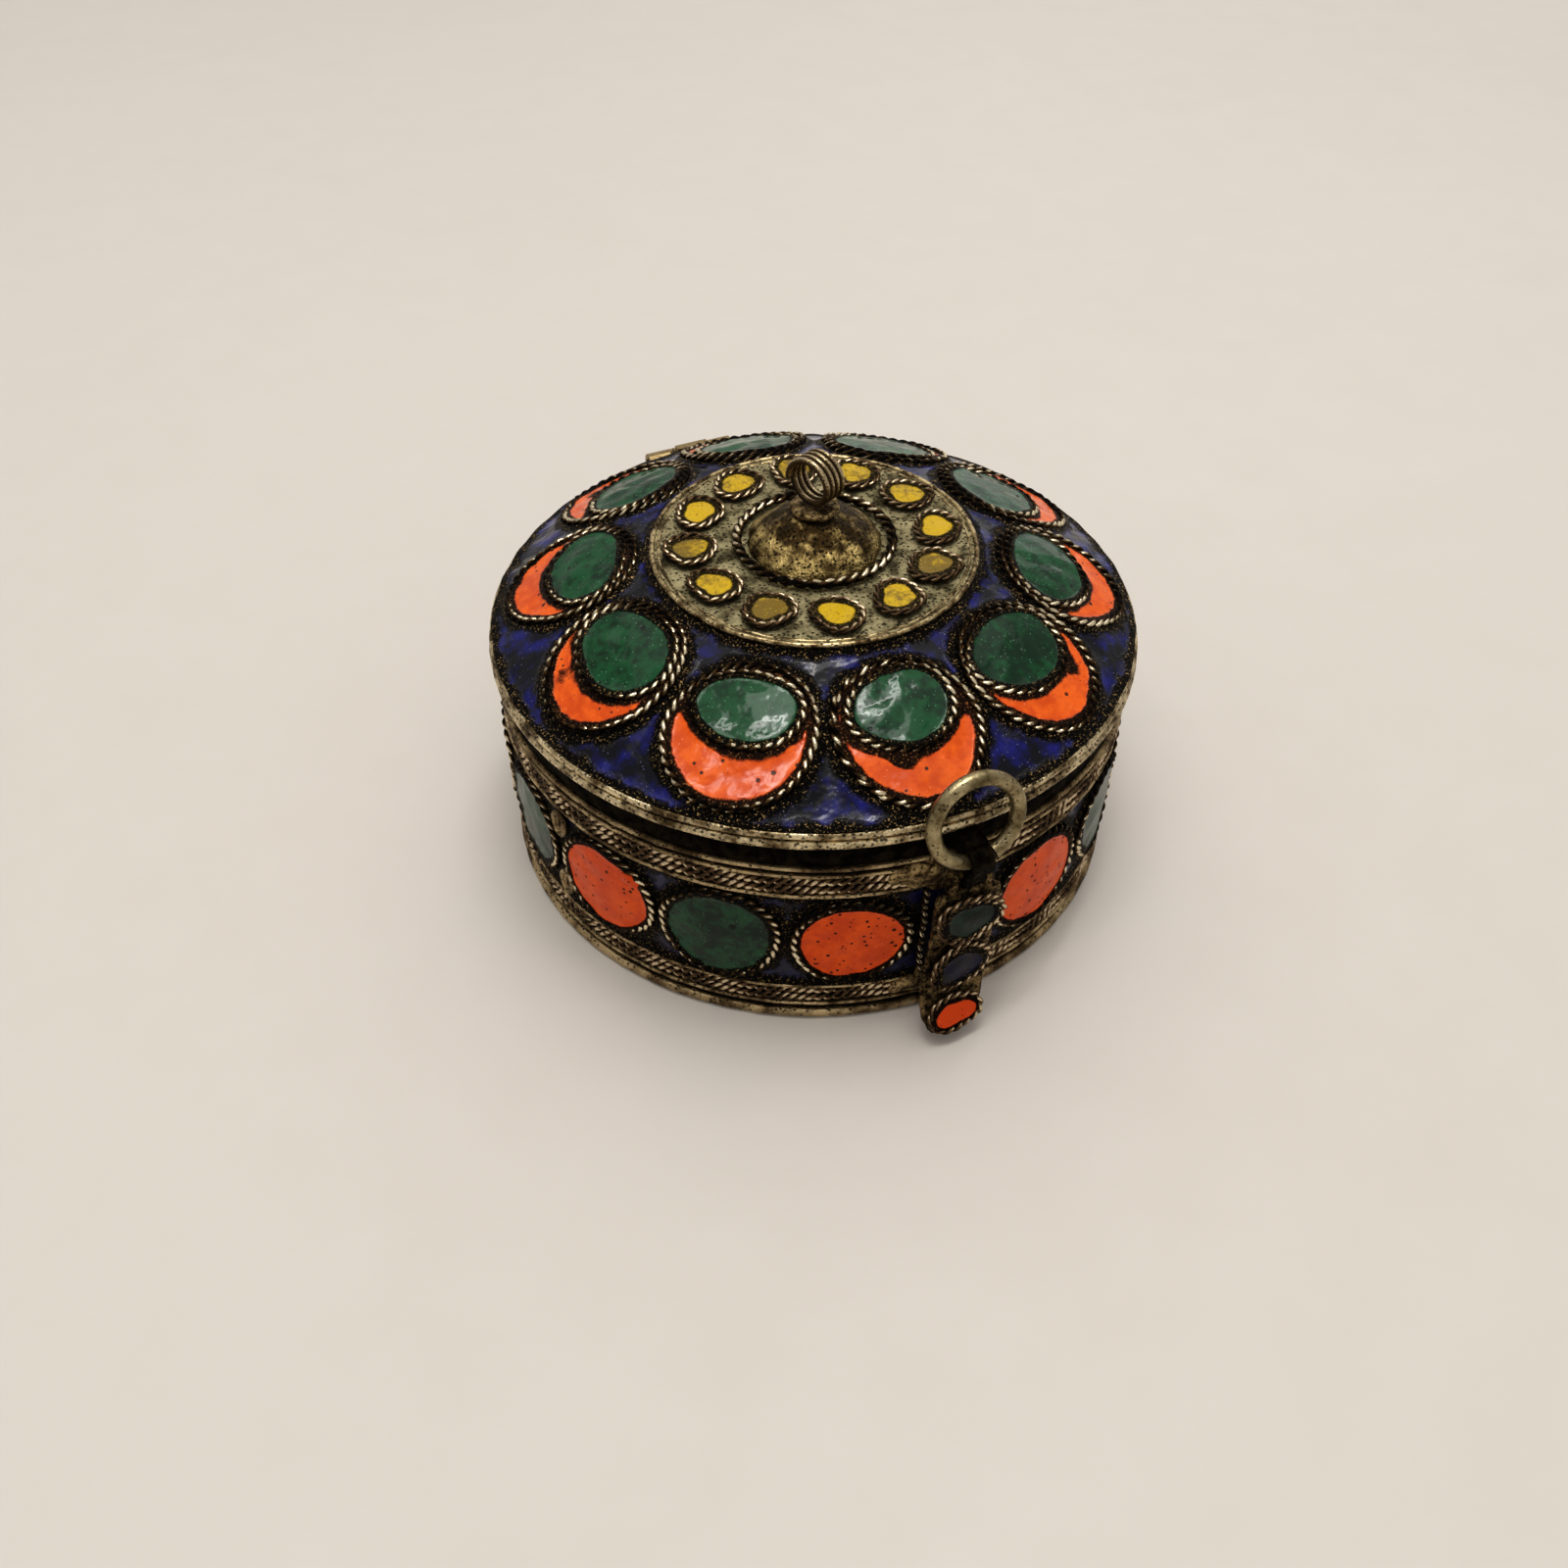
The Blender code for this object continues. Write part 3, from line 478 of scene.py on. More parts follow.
def enamelFinish(name, look):
    # "edge" is the distance to the nearest wire, "tone" shifts a whole cell between its two colours
    material, board, where = newMaterial(name)
    edge = board.attribute("edge")
    tone = board.attribute("tone")
    mottle = board.noise(where, look["mottle"], 4.0, 0.6)
    grain = board.noise(where, 0.00026, 3.0, 0.65)
    broad = board.noise(where, 0.0045, 2.0)
    flecks = board.spots(where, look["fleckSize"])
    picked = board.channel(flecks, "Red").rise(1 - look["fleckShare"], 1.01 - look["fleckShare"])
    fleck = flecks.rise(0.30, 0.12) * picked
    holes = board.spots(where, look["pitSize"])
    split = board.channel(holes, "Red")
    smallest, spread = look["pitReach"]
    reach = split.of("Green") * spread + smallest
    pit = (reach - holes).rise(0.0, 0.04) * split.rise(1 - look["pitShare"], 1.01 - look["pitShare"])
    wander = ((mottle - 0.5) * 1.6 + (broad - 0.5) * 1.6) * look["stray"] + (grain - 0.5) * 0.9
    soot = (edge / look["sootReach"] + wander).rise(1.25, 0.55)
    colour = board.mix((mottle + (broad - 0.5) * 0.8 + tone).rise(0.30, 0.70), look["deep"], look["light"])
    colour = board.mix(grain.rise(0.50, 0.70) * 0.45, colour, look["deep"])
    colour = board.mix(fleck * 0.6, colour, look["fleck"])
    colour = board.mix(pit * 0.92, colour, look["soot"])
    crust = board.mix(grain.rise(0.565, 0.68), look["soot"], look["crumb"])
    colour = board.mix(soot, colour, crust)
    relief = board.noise(where, 0.0022, 2.0) - pit * 0.5 + soot * grain * 1.7
    surfaced(board, colour=colour, roughness=look["rough"] + soot * 0.40 + pit * 0.3 + grain * 0.06,
             metallic=soot * 0.85,  # the crust is scorched flux full of brass filings
             ior=look["ior"], normal=board.bump(relief, look["wave"]))
    return material


finishes = {name: metalFinish(name + "Metal", look) for name, look in metalLook.items()}
finishes["rope"] = ropeFinish("twistedWire", ropeLook)
finishes["braid"] = ropeFinish("braidedWire", braidLook)
finishes["coil"] = ropeFinish("coiledWire", coilLook)
for shade, look in enamelLook.items():
    finishes[shade] = enamelFinish(shade + "Glass", look)
print("finishes made")


# ---- Twisted wire: two strands wound along every path of a piece

def ropeTree(material):
    tree = bpy.data.node_groups.new("twistedWire", "GeometryNodeTree")
    tree.interface.new_socket("Paths", in_out="INPUT", socket_type="NodeSocketGeometry")
    for label, value in (("Spread", 0.00025), ("Height", 0.00025), ("Strand Radius", 0.00027),
                         ("Pitch", 0.002), ("Jitter", 0.00022)):
        tree.interface.new_socket(label, in_out="INPUT", socket_type="NodeSocketFloat").default_value = value
    for label, value in (("Steps Per Turn", 9), ("Sides", 6)):
        tree.interface.new_socket(label, in_out="INPUT", socket_type="NodeSocketInt").default_value = value
    tree.interface.new_socket("Wire", in_out="OUTPUT", socket_type="NodeSocketGeometry")
    board = Board(tree)
    given = board.add("NodeGroupInput")
    step = given.of("Pitch") / given.of("Steps Per Turn")
    curve = board.add("GeometryNodeMeshToCurve", {}, {"Mesh": given})
    curve = board.add("GeometryNodeResampleCurve", {"mode": "LENGTH"}, {"Curve": curve, "Length": step})
    stray = board.noise(board.add("GeometryNodeInputPosition"), 0.0021, 1.0).of("Color")
    stray = board.vector("SCALE", board.vector("SUBTRACT", stray, (0.5, 0.5, 0.5)))
    tree.links.new(given.of("Jitter").link(), stray.node.inputs["Scale"])
    curve = board.add("GeometryNodeSetPosition", {}, {"Geometry": curve, "Offset": stray})
    up = board.add("GeometryNodeInputNamedAttribute", {"data_type": "FLOAT_VECTOR"}, {"Name": "up"})
    up = board.vector("NORMALIZE", up)
    heading = board.add("GeometryNodeInputTangent")
    side = board.vector("NORMALIZE", board.vector("CROSS_PRODUCT", heading, up))
    share = board.add("GeometryNodeSplineParameter")
    length = board.add("GeometryNodeSplineLength")
    turns = board.sum("MAXIMUM", board.sum("ROUND", length / given.of("Pitch")), 1.0)
    strands = []
    for phase in (0.0, math.pi):
        angle = share * turns * math.tau + phase
        lift = board.sum("SINE", angle)
        offset = board.vector("ADD", board.vector("SCALE", side), board.vector("SCALE", up))
        sideways, upwards = offset.node.inputs[0].links[0].from_node, offset.node.inputs[1].links[0].from_node
        tree.links.new((board.sum("COSINE", angle) * given.of("Spread")).link(), sideways.inputs["Scale"])
        tree.links.new((lift * given.of("Height")).link(), upwards.inputs["Scale"])
        strand = board.add("GeometryNodeSetPosition", {}, {"Geometry": curve, "Offset": offset})
        strand = board.add("GeometryNodeStoreNamedAttribute", {"data_type": "FLOAT", "domain": "POINT"},
                           {"Geometry": strand, "Name": "lift", "Value": lift * 0.5 + 0.5})
        ring = board.add("GeometryNodeCurvePrimitiveCircle", {},
                         {"Resolution": given.of("Sides"), "Radius": given.of("Strand Radius")})
        strands.append(board.add("GeometryNodeCurveToMesh", {},
                                 {"Curve": strand, "Profile Curve": ring, "Fill Caps": True}))
    both = board.add("GeometryNodeJoinGeometry")
    for strand in strands:
        tree.links.new(strand.link(), both.node.inputs[0])
    normal = board.add("GeometryNodeInputNormal")
    facing = board.vector("DOT_PRODUCT", normal, up, "Value")
    lifted = board.add("GeometryNodeInputNamedAttribute", {"data_type": "FLOAT"}, {"Name": "lift"})
    # Painted light: lighter on the higher strand and on faces that look off the sheet, darker in the grooves
    crest = lifted * 0.5 + (facing * 0.5 + 0.5) * 0.5
    wire = board.add("GeometryNodeStoreNamedAttribute", {"data_type": "FLOAT", "domain": "POINT"},
                     {"Geometry": both, "Name": "crest", "Value": crest})
    wire = board.add("GeometryNodeRealizeInstances", {}, {"Geometry": wire})
    wire = board.add("GeometryNodeSetMaterial", {}, {"Geometry": wire, "Material": material})
    board.add("NodeGroupOutput", {}, {"Wire": wire})
    return tree


twistedWire = ropeTree(finishes["rope"])


def wound(name, paths, **sizes):
    # paths is a list of (points, directions off the sheet, whether it closes on itself)
    points = np.concatenate([path[0] for path in paths])
    ups = np.concatenate([path[1] for path in paths])
    edges, start = [], 0
    for somePoints, _, closes in paths:
        count = len(somePoints)
        edges += [(start + i, start + (i + 1) % count) for i in range(count if closes else count - 1)]
        start += count
    mesh = bpy.data.meshes.new(name + "Paths")
    mesh.from_pydata(points.tolist(), edges, [])
    held = mesh.attributes.new("up", "FLOAT_VECTOR", "POINT").data
    held.foreach_set("vector", ups.ravel().astype(np.float32))
    guide = bpy.data.objects.new(name + "Paths", mesh)
    bpy.context.scene.collection.objects.link(guide)
    modifier = guide.modifiers.new("Wind", "NODES")
    modifier.node_group = twistedWire
    for item in twistedWire.interface.items_tree:
        if item.name in sizes:
            modifier[item.identifier] = sizes[item.name]
    graph = bpy.context.evaluated_depsgraph_get()
    solid = bpy.data.meshes.new_from_object(guide.evaluated_get(graph), preserve_all_data_layers=True,
                                            depsgraph=graph)
    bpy.data.objects.remove(guide)
    bpy.data.meshes.remove(mesh)
    for label in ("up", "lift", "sharp_edge"):
        if label in solid.attributes:
            solid.attributes.remove(solid.attributes[label])
    solid.shade_smooth()
    return solid


def windPiece(name, groups, body, stands=(), finish="rope"):
    # groups is a list of (paths, sizes); all of them become one mesh
    pile = []
    for number, (paths, sizes) in enumerate(groups):
        solid = wound(f"{name}{number}", paths, **sizes)
        points = np.empty(len(solid.vertices) * 3, np.float32)
        solid.vertices.foreach_get("co", points)
        # The painted light value of the strands comes along with each wire's points
        crest = np.empty(len(solid.vertices), np.float32)
        solid.attributes["crest"].data.foreach_get("value", crest)
        quads, caps = [], []
        for polygon in solid.polygons:
            corners = list(polygon.vertices)
            (quads if len(corners) == 4 else caps).append(corners)
        faces = [np.array(quads)] + [np.array([cap]) for cap in caps]
        pile.append((points.reshape(-1, 3), faces, {"crest": crest}))
        bpy.data.meshes.remove(solid)
    addPiece(name, pile, finish, body, stands)


# ---- Outlines: a loop bent by hand, a little off a true oval

def outline(halfSide, halfUp, seed, shift=0.0, slip=0.0, lean=0.0, wander=0.020):
    rng = np.random.default_rng(seed)
    waves = [(2, rng.uniform(0, math.tau), wander), (3, rng.uniform(0, math.tau), wander * 0.8),
             (5, rng.uniform(0, math.tau), wander * 0.35)]
    return dict(halfSide=halfSide, halfUp=halfUp, shift=shift, slip=slip, lean=lean, waves=waves)


def bentRadius(shape, turn):
    return 1 + sum(size * np.sin(count * turn + phase) for count, phase, size in shape["waves"]) - 0.012


def onOutline(shape, turn, inset):
    bent = bentRadius(shape, turn)
    side = (shape["halfSide"] * bent - inset) * np.cos(turn)
    up = (shape["halfUp"] * bent - inset) * np.sin(turn)
    cos, sin = math.cos(shape["lean"]), math.sin(shape["lean"])
    return side * cos - up * sin + shape["slip"], side * sin + up * cos + shape["shift"]


def beyond(shape, side, up):
    # How far a point lies outside the loop, in metres; negative inside it
    cos, sin = math.cos(shape["lean"]), math.sin(shape["lean"])
    side, up = side - shape["slip"], up - shape["shift"]
    side, up = side * cos + up * sin, up * cos - side * sin
    turn = np.arctan2(up / shape["halfUp"], side / shape["halfSide"])
    local = np.hypot(shape["halfSide"] * np.cos(turn), shape["halfUp"] * np.sin(turn))
    return np.hypot(side, up) - local * bentRadius(shape, turn)


def loopPath(place, shape, inset, above, count=72):
    turn = np.arange(count) * math.tau / count
    side, up = onOutline(shape, turn, inset)
    points = place(side, up, above)
    off = place(side, up, above + 1e-5) - points
    return points, unit(off), True


poolLook = dict(rings=15, segments=72, meniscus=0.00018, reach=0.00032, wave=0.00008, waveSize=0.0045,
                skirt=0.0005)


def pool(place, shape, inset, base, crown, seed, tone=0.0, island=None, wave=poolLook["wave"]):
    # A pool inside a loop: crowned, climbing a little up the wire. An island is a loop that stands in it
    look = poolLook
    count = look["segments"]
    turn = np.arange(count) * math.tau / count
    spread = np.sin(np.linspace(0, math.pi / 2, look["rings"])[1:]) ** 0.9
    rimSide, rimUp = onOutline(shape, turn, inset)
    side = shape["slip"] + (rimSide - shape["slip"]) * spread[:, None]
    up = shape["shift"] + (rimUp - shape["shift"]) * spread[:, None]
    side = np.concatenate(([shape["slip"]], side.ravel()))
    up = np.concatenate(([shape["shift"]], up.ravel()))
    part = np.concatenate(([0.0], np.repeat(spread, count)))
    flat = np.stack((side, up), -1)
    edge = -beyond(shape, side, up) - 2 * inset
    climb = np.exp(-np.maximum(edge, 0) / look["reach"])
    if island:
        gap = beyond(island, side, up)
        climb = np.maximum(climb, np.exp(-np.maximum(gap, 0) / look["reach"]))
        burnt = 1 - 0.8 * np.clip(1.3 * ripple(flat, 0.008, seed + 3), 0, 1)  # soot spreads from it in places
        edge = np.minimum(edge, gap * burnt)
    above = base + crown * (1 - part ** 2) + look["meniscus"] * climb
    above = above + wave * ripple(flat, look["waveSize"], seed)
    points = place(side, up, above)
    low = place(side[-count:], up[-count:], above[-count:] - look["skirt"])
    lowMiddle = place(side[:1], up[:1], above[:1] - look["skirt"] - crown)
    rings = look["rings"] - 1
    lastRing = 1 + (rings - 1) * count
    faces = [fanFaces(1, count, 0), gridFaces(rings, count, first=1), gridFaces(2, count, first=lastRing),
             fanFaces(lastRing + count, count, lastRing + 2 * count)[:, ::-1]]
    points = np.concatenate((points, low, lowMiddle))
    values = {"edge": np.concatenate((edge, np.zeros(count + 1))), "tone": np.full(len(points), tone)}
    faces = outward((points - points.mean(0), faces, values))[1]
    return points, faces, values


# ---- Petals on the lid

petal = dict(count=10, start=math.radians(-5.8), wander=math.radians(2.1), wanderPhase=math.radians(-66.5),
             inner=0.0202, outer=0.0360, clearance=0.0003, inside=0.0009,
             crescent=(0.0053, 0.0046, 0.0045, 0.0045, 0.0045, 0.0045, 0.0045, 0.0046, 0.0043, 0.0056),
             crescentSide=(0.0019, 0.0014, 0.0014, 0.0014, 0.0014, 0.0014, 0.0014, 0.0014, 0.0012, 0.0021),
             tone=(0.02, -0.14, -0.04, -0.02, 0.0, 0.04, 0.02, 0.02, 0.04, 0.10),
             slide=(0.0003, 0.0, 0.0, -0.0002, 0.0, 0.0, -0.0002, -0.0004, -0.0006, 0.0005),
             loopLift=0.00012, crescentDrop=0.00015, crescentCrown=0.0001, ovalLift=0.0001)
petalCentre = (petal["inner"] + petal["outer"]) / 2
petalHalfOut = (petal["outer"] - petal["inner"]) / 2
petalHalfSide = petalCentre * math.sin(math.pi / petal["count"]) - petal["clearance"]
ropeTop = cell["gap"] + cell["rope"]
ropeMiddle = ropeTop - cell["rope"] / 2
poolBase = cell["gap"] + cell["fill"]

loopWire = {"Spread": 0.00024, "Height": 0.00025, "Strand Radius": 0.00027, "Pitch": 0.0028,
            "Steps Per Turn": 11, "Sides": 7}

petals = []
for i in range(petal["count"]):
    turn = math.tau / petal["count"] * i
    azimuth = petal["start"] + turn + petal["wander"] * math.cos(turn - petal["wanderPhase"])
    big = outline(petalHalfSide, petalHalfOut, 100 + i, wander=0.016)
    inside, crescent = petal["inside"], petal["crescent"][i]
    small = outline(petalHalfSide - petal["crescentSide"][i], petalHalfOut - (crescent + inside) / 2, 200 + i,
                    shift=(inside - crescent) / 2, wander=0.028)
    centre = petalCentre + petal["slide"][i]
    petals.append((azimuth, domePlace(azimuth, centre), big, small, centre))

paths, greens, oranges = [], [], []
for i, (_, place, big, small, _) in enumerate(petals):
    half = cell["rope"] / 2
    paths.append(loopPath(place, big, half, ropeMiddle, 96))
    paths.append(loopPath(place, small, half, ropeMiddle + petal["loopLift"]))
    oranges.append(pool(place, big, half, poolBase - petal["crescentDrop"], petal["crescentCrown"], 300 + i,
                        island=small))
    greens.append(pool(place, small, half, poolBase + petal["ovalLift"], cell["crown"], 400 + i,
                       tone=petal["tone"][i]))
windPiece("petalRopes", [(paths, loopWire)], "lid", [f"lid_petal_{i + 1:02d}" for i in range(petal["count"])])
addPiece("petalGreens", greens, "green", "lid")
addPiece("petalOranges", oranges, "orange", "lid")
print("petals laid")


# ---- Lid: sheet, blue ground, rim

ground = dict(turns=720, rows=64, inner=0.0184, outer=0.0371, depth=0.00036, climb=0.00042, reach=0.00070,
              wave=0.00010, waveSize=0.006, within=0.0004, under=0.0001)


def groundAbove(look, away, inside, waves):
    # Height over the sheet: higher by a wire or an edge, and next to nothing under a cell's own pool
    above = look["depth"] + look["climb"] * np.exp(-np.maximum(away, 0) / look["reach"])
    return np.where(inside, look["under"], above + look["wave"] * waves)


def groundPatch(points, faces, up, away, inside, tone):
    # An open sheet whose faces look the way of up, which is given for every point
    a, b, c = (points[faces[:, k]] for k in range(3))
    if (np.cross(b - a, c - b) * up[faces[:, 0]]).sum() < 0:
        faces = faces[:, ::-1]
    return points, [faces], {"edge": np.where(inside, 0, away).ravel(), "tone": tone}


def lidGroundPatch():
    look = ground
    azimuth = np.arange(look["turns"]) * math.tau / look["turns"]
    radius = np.linspace(look["inner"], look["outer"], look["rows"])
    radius, azimuth = np.meshgrid(radius, azimuth, indexing="ij")
    flat = way(azimuth) * radius[..., None]
    away = np.minimum(radius - look["inner"] - look["within"], look["outer"] - radius)
    inside = np.zeros(radius.shape, bool)
    for angle, _, big, _, centre in petals:
        gap = beyond(big, flat @ across(angle), flat @ way(angle) - centre)
        away = np.minimum(away, np.abs(gap))
        inside |= gap < -look["within"]
    above = groundAbove(look, away, inside, ripple(flat, look["waveSize"], 5))
    points = liftOffDome(flat, above).reshape(-1, 3)
    up = np.broadcast_to((0.0, 0.0, 1.0), points.shape)
    tone = 0.08 * ripple(points, 0.008, 6) - 0.10
    return groundPatch(points, gridFaces(look["rows"], look["turns"]), up, away, inside, tone)


addPiece("lidGround", [lidGroundPatch()], "blue", "lid")

innerRadius = drum["radius"] - drum["wall"]
flangeOuter = innerRadius - cell["gap"]
flangeInner = flangeOuter - lid["flangeWall"]
outerRun = np.linspace(lid["flat"], lid["radius"], 14)
innerRun = [radius for radius in outerRun[::-1] if radius < flangeInner]
lidProfile = [(0, lid["top"])] + [(radius, domeHeight(radius)) for radius in outerRun]
flangeFoot = lid["seat"] - lid["flangeDepth"]
lidProfile += [(lid["radius"], lid["seat"]), (flangeOuter, lid["seat"]), (flangeOuter, flangeFoot),
               (flangeInner, flangeFoot)]
lidProfile += [(radius, domeHeight(radius) - lid["thickness"]) for radius in [flangeInner] + innerRun]
lidProfile.append((0, lid["top"] - lid["thickness"]))
addPiece("lidSheet", [turnedPatch(lidProfile, 144, False)], "sheet", "lid", ["lid_dome"])


def wireStack(levels, outer, inner, steps=7):
    # Section of wires soldered one above another, each as thick as its share of the height
    profile = [(inner, levels[0])]
    for low, high in zip(levels, levels[1:]):
        half = (high - low) / 2
        for turn in np.linspace(-math.pi / 2, math.pi / 2, steps + 2)[1:-1]:
            profile.append((outer - half + half * math.cos(turn), (low + high) / 2 + half * math.sin(turn)))
    profile.append((inner, levels[-1]))
    return profile


rimLook = dict(segments=256, dent=0.00004, dentSize=0.0035, lowThick=0.00115, gap=0.00013,
               reach=(0.0380, 0.03785))
rimLow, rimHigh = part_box("lid_rim")[0][2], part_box("lid_rim")[1][2]
rimWires = []
rimSplit = rimLow + rimLook["lowThick"]
for low, high, reach in zip((rimLow, rimSplit + rimLook["gap"]), (rimSplit, rimHigh), rimLook["reach"]):
    section = wireStack((low, high), reach, lid["radius"] - 0.0004, 9)
    rimWires.append(turnedPatch(section, rimLook["segments"], True, rimLook["dent"], rimLook["dentSize"]))
addPiece("lidRim", rimWires, "rim", "lid", ["lid_rim"])
print("lid closed")


# ---- Plaque, boss and finial

plaque = dict(radius=0.0188, edgeWire=0.0010, cells=12, clearance=0.0003, bossRadius=0.0076, bossTop=0.0432,
              bossBase=0.0393, bossTopRadius=0.0026, bossWire=0.0011, bossWireClearance=0.0007,
              tone=(0.08, -0.22, 0.30, 0.0, 0.05, -0.15, 0.05, 0.35, -0.12, 0.10, -0.18, 0.26),
              sink=0.0001, poolDrop=0.0002, poolCrown=0.00015, edgeHalves=(0.00032, 0.00020), edgeGap=0.00022,
              plateDent=(0.00006, 0.0026), edgeDent=(0.00004, 0.0022), bossDent=(0.00015, 0.0024),
              collarDent=(0.00007, 0.0022))
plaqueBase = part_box("plaque")[0][2]
plateRadius = plaque["radius"] - 0.0003
profile = [(0, plaqueBase), (plateRadius, plaqueBase), (plateRadius, plaqueTop)]
profile += [(radius, plaqueTop) for radius in np.linspace(plateRadius - 0.0004, 0.0, 42)]
addPiece("plaquePlate", [turnedPatch(profile, 240, False, *plaque["plateDent"], 21)], "plaque", "lid",
         ["plaque"])
pile = []
centre = plaque["radius"]
for number, half in enumerate(plaque["edgeHalves"]):  # half of each wire's thickness
    centre -= half
    section = [(centre + half * math.cos(turn), plaqueTop - plaque["sink"] + half * math.sin(turn))
               for turn in np.arange(14) * math.tau / 14]
    pile.append(turnedPatch(section, 240, True, *plaque["edgeDent"], 22 + number))
    centre -= half + plaque["edgeGap"]
addPiece("plaqueEdge", pile, "plaqueEdge", "lid")

ringOuter = plaque["radius"] - plaque["edgeWire"] - plaque["clearance"]
spread = math.sin(math.pi / plaque["cells"])
plaqueHalf = ringOuter * spread / (1 + spread) - plaque["clearance"]
plaqueMiddle = ringOuter - plaqueHalf
paths, yellows = [], []
for i in range(plaque["cells"]):
    azimuth = math.tau / plaque["cells"] * (i + 0.5)
    place = plaquePlace(azimuth, plaqueMiddle)
    shape = outline(plaqueHalf, plaqueHalf * 0.97, 500 + i, wander=0.05)
    half = cell["rope"] / 2
    paths.append(loopPath(place, shape, half, ropeMiddle - plaque["sink"], 48))
    yellows.append(pool(place, shape, half, poolBase - plaque["poolDrop"], plaque["poolCrown"], 600 + i,
                        tone=plaque["tone"][i]))
turn = np.arange(120) * math.tau / 120
bossWay = way(turn) * (plaque["bossRadius"] + plaque["bossWireClearance"] + plaque["bossWire"] / 2)
bossPath = raised(bossWay, plaqueTop + cell["gap"] + plaque["bossWire"] / 2 - plaque["sink"])
bossRope = (bossPath, np.tile((0.0, 0.0, 1.0), (120, 1)), True)
smallWire = {"Spread": 0.00021, "Height": 0.00020, "Strand Radius": 0.00023, "Pitch": 0.0025,
             "Jitter": 0.0006}
bossWire = {"Spread": 0.00029, "Height": 0.00026, "Strand Radius": 0.00033, "Pitch": 0.0032}
tongueWire = {"Spread": 0.00019, "Height": 0.00020, "Strand Radius": 0.00022, "Pitch": 0.0024,
              "Jitter": 0.0007}
windPiece("plaqueRopes", [(paths, smallWire)], "lid",
          [f"plaque_cell_{i + 1:02d}" for i in range(plaque["cells"])], "braid")
windPiece("bossRope", [([bossRope], bossWire)], "lid", ["boss_rope"])
addPiece("plaqueYellows", yellows, "yellow", "lid")

run = plaque["bossRadius"] - plaque["bossTopRadius"]
rise = plaque["bossTop"] - plaque["bossBase"]
shares = np.sin(np.linspace(0, math.pi / 2, 22))
profile = [(0, plaque["bossTop"])]
for share in shares:  # between a cone and a dome
    swell = 0.65 * (1 - share) + 0.35 * (1 - share ** 2) ** 0.6
    profile.append((plaque["bossTopRadius"] + run * share, plaque["bossBase"] + rise * swell))
profile += [(plaque["bossRadius"], plaque["bossBase"] - 0.0002), (0, plaque["bossBase"] - 0.0002)]
addPiece("bossDome", [turnedPatch(profile, 140, False, *plaque["bossDent"], 31)], "boss", "lid", ["boss"])

# shade and endShade set how strongly painted shade darkens the wire between the turns, and on the end turns
coil = dict(turns=3.75, radius=0.0026, wire=0.00039, pitch=0.00080, azimuth=math.radians(-66), base=0.0435,
            collarHeight=0.0008, collarRadius=0.0028, stations=48, shade=0.95, endShade=0.35)
coilCentre = coil["base"] + coil["collarHeight"] + cell["gap"] + coil["wire"] + coil["radius"]
turn = np.linspace(0, math.tau * coil["turns"], round(coil["turns"] * coil["stations"]) + 1)
along = coil["pitch"] * (turn / math.tau - coil["turns"] / 2)
sideways = coil["radius"] * np.sin(turn)
flat = along[:, None] * way(coil["azimuth"]) + sideways[:, None] * across(coil["azimuth"])
patch = tubePatch(raised(flat, coilCentre - coil["radius"] * np.cos(turn)), coil["wire"], 16)
depthIn = patch[0][:, :2] @ way(coil["azimuth"])
outFrom = np.hypot(patch[0][:, :2] @ across(coil["azimuth"]), patch[0][:, 2] - coilCentre)
# 1 where the next turn lies close, and less on the free side of the first and the last turn; there the wire is
# painted darker, as painted shade between the turns
beside = 1 - np.minimum(1, np.abs(outFrom - coil["radius"]) / coil["wire"])
reach = coil["pitch"] * (coil["turns"] - 1) / 2
beside = beside * np.where(np.abs(depthIn) < reach + coil["wire"] * 0.6, 1.0, coil["endShade"])
patch[2]["crest"] = 1 - coil["shade"] * beside ** 1.2
addPiece("finialCoil", [patch], "coil", "lid", ["finial_coil"])
half = coil["collarHeight"] / 2
profile = [(0, coil["base"] + coil["collarHeight"] + 0.0001)]
profile += [(coil["collarRadius"] - half + half * math.cos(turn), coil["base"] + half + half * math.sin(turn))
            for turn in np.linspace(math.pi / 2, -math.pi / 2, 9)]
profile.append((0, coil["base"] - 0.0003))
addPiece("finialCollar", [turnedPatch(profile, 96, False, *plaque["collarDent"], 41)], "solder", "lid",
         ["finial_collar"])
print("plaque and finial set")


# ---- Drum: shell, blue ground, cells

wallCell = dict(perSide=7, first=math.radians(18.0), last=math.radians(152.4), clearance=0.0005,
                size=((0.97, 1.03, 1.01, 0.97, 1.0, 0.98, 1.0), (1.01, 0.98, 1.0, 0.96, 0.98, 1.0, 0.98)),
                margin=0.0003)
enamelLow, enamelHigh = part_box("lower_band")[1][2] + wallCell["margin"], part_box("upper_band")[0][2]
cellPitch = (wallCell["last"] - wallCell["first"]) / (wallCell["perSide"] - 1)
cellHalfSide = (drum["radius"] * cellPitch - wallCell["clearance"]) / 2
cellHalfUp = (enamelHigh - enamelLow - wallCell["clearance"]) / 2
cellMiddle = (enamelLow + enamelHigh) / 2

profile = [(0, drum["floor"]), (innerRadius, drum["floor"]), (innerRadius, neckTop),
           (drum["radius"], neckTop), (drum["radius"], 0), (0, 0)]
addPiece("drumShell", [turnedPatch(profile, 180, False)], "sheet", "box", ["drum"])

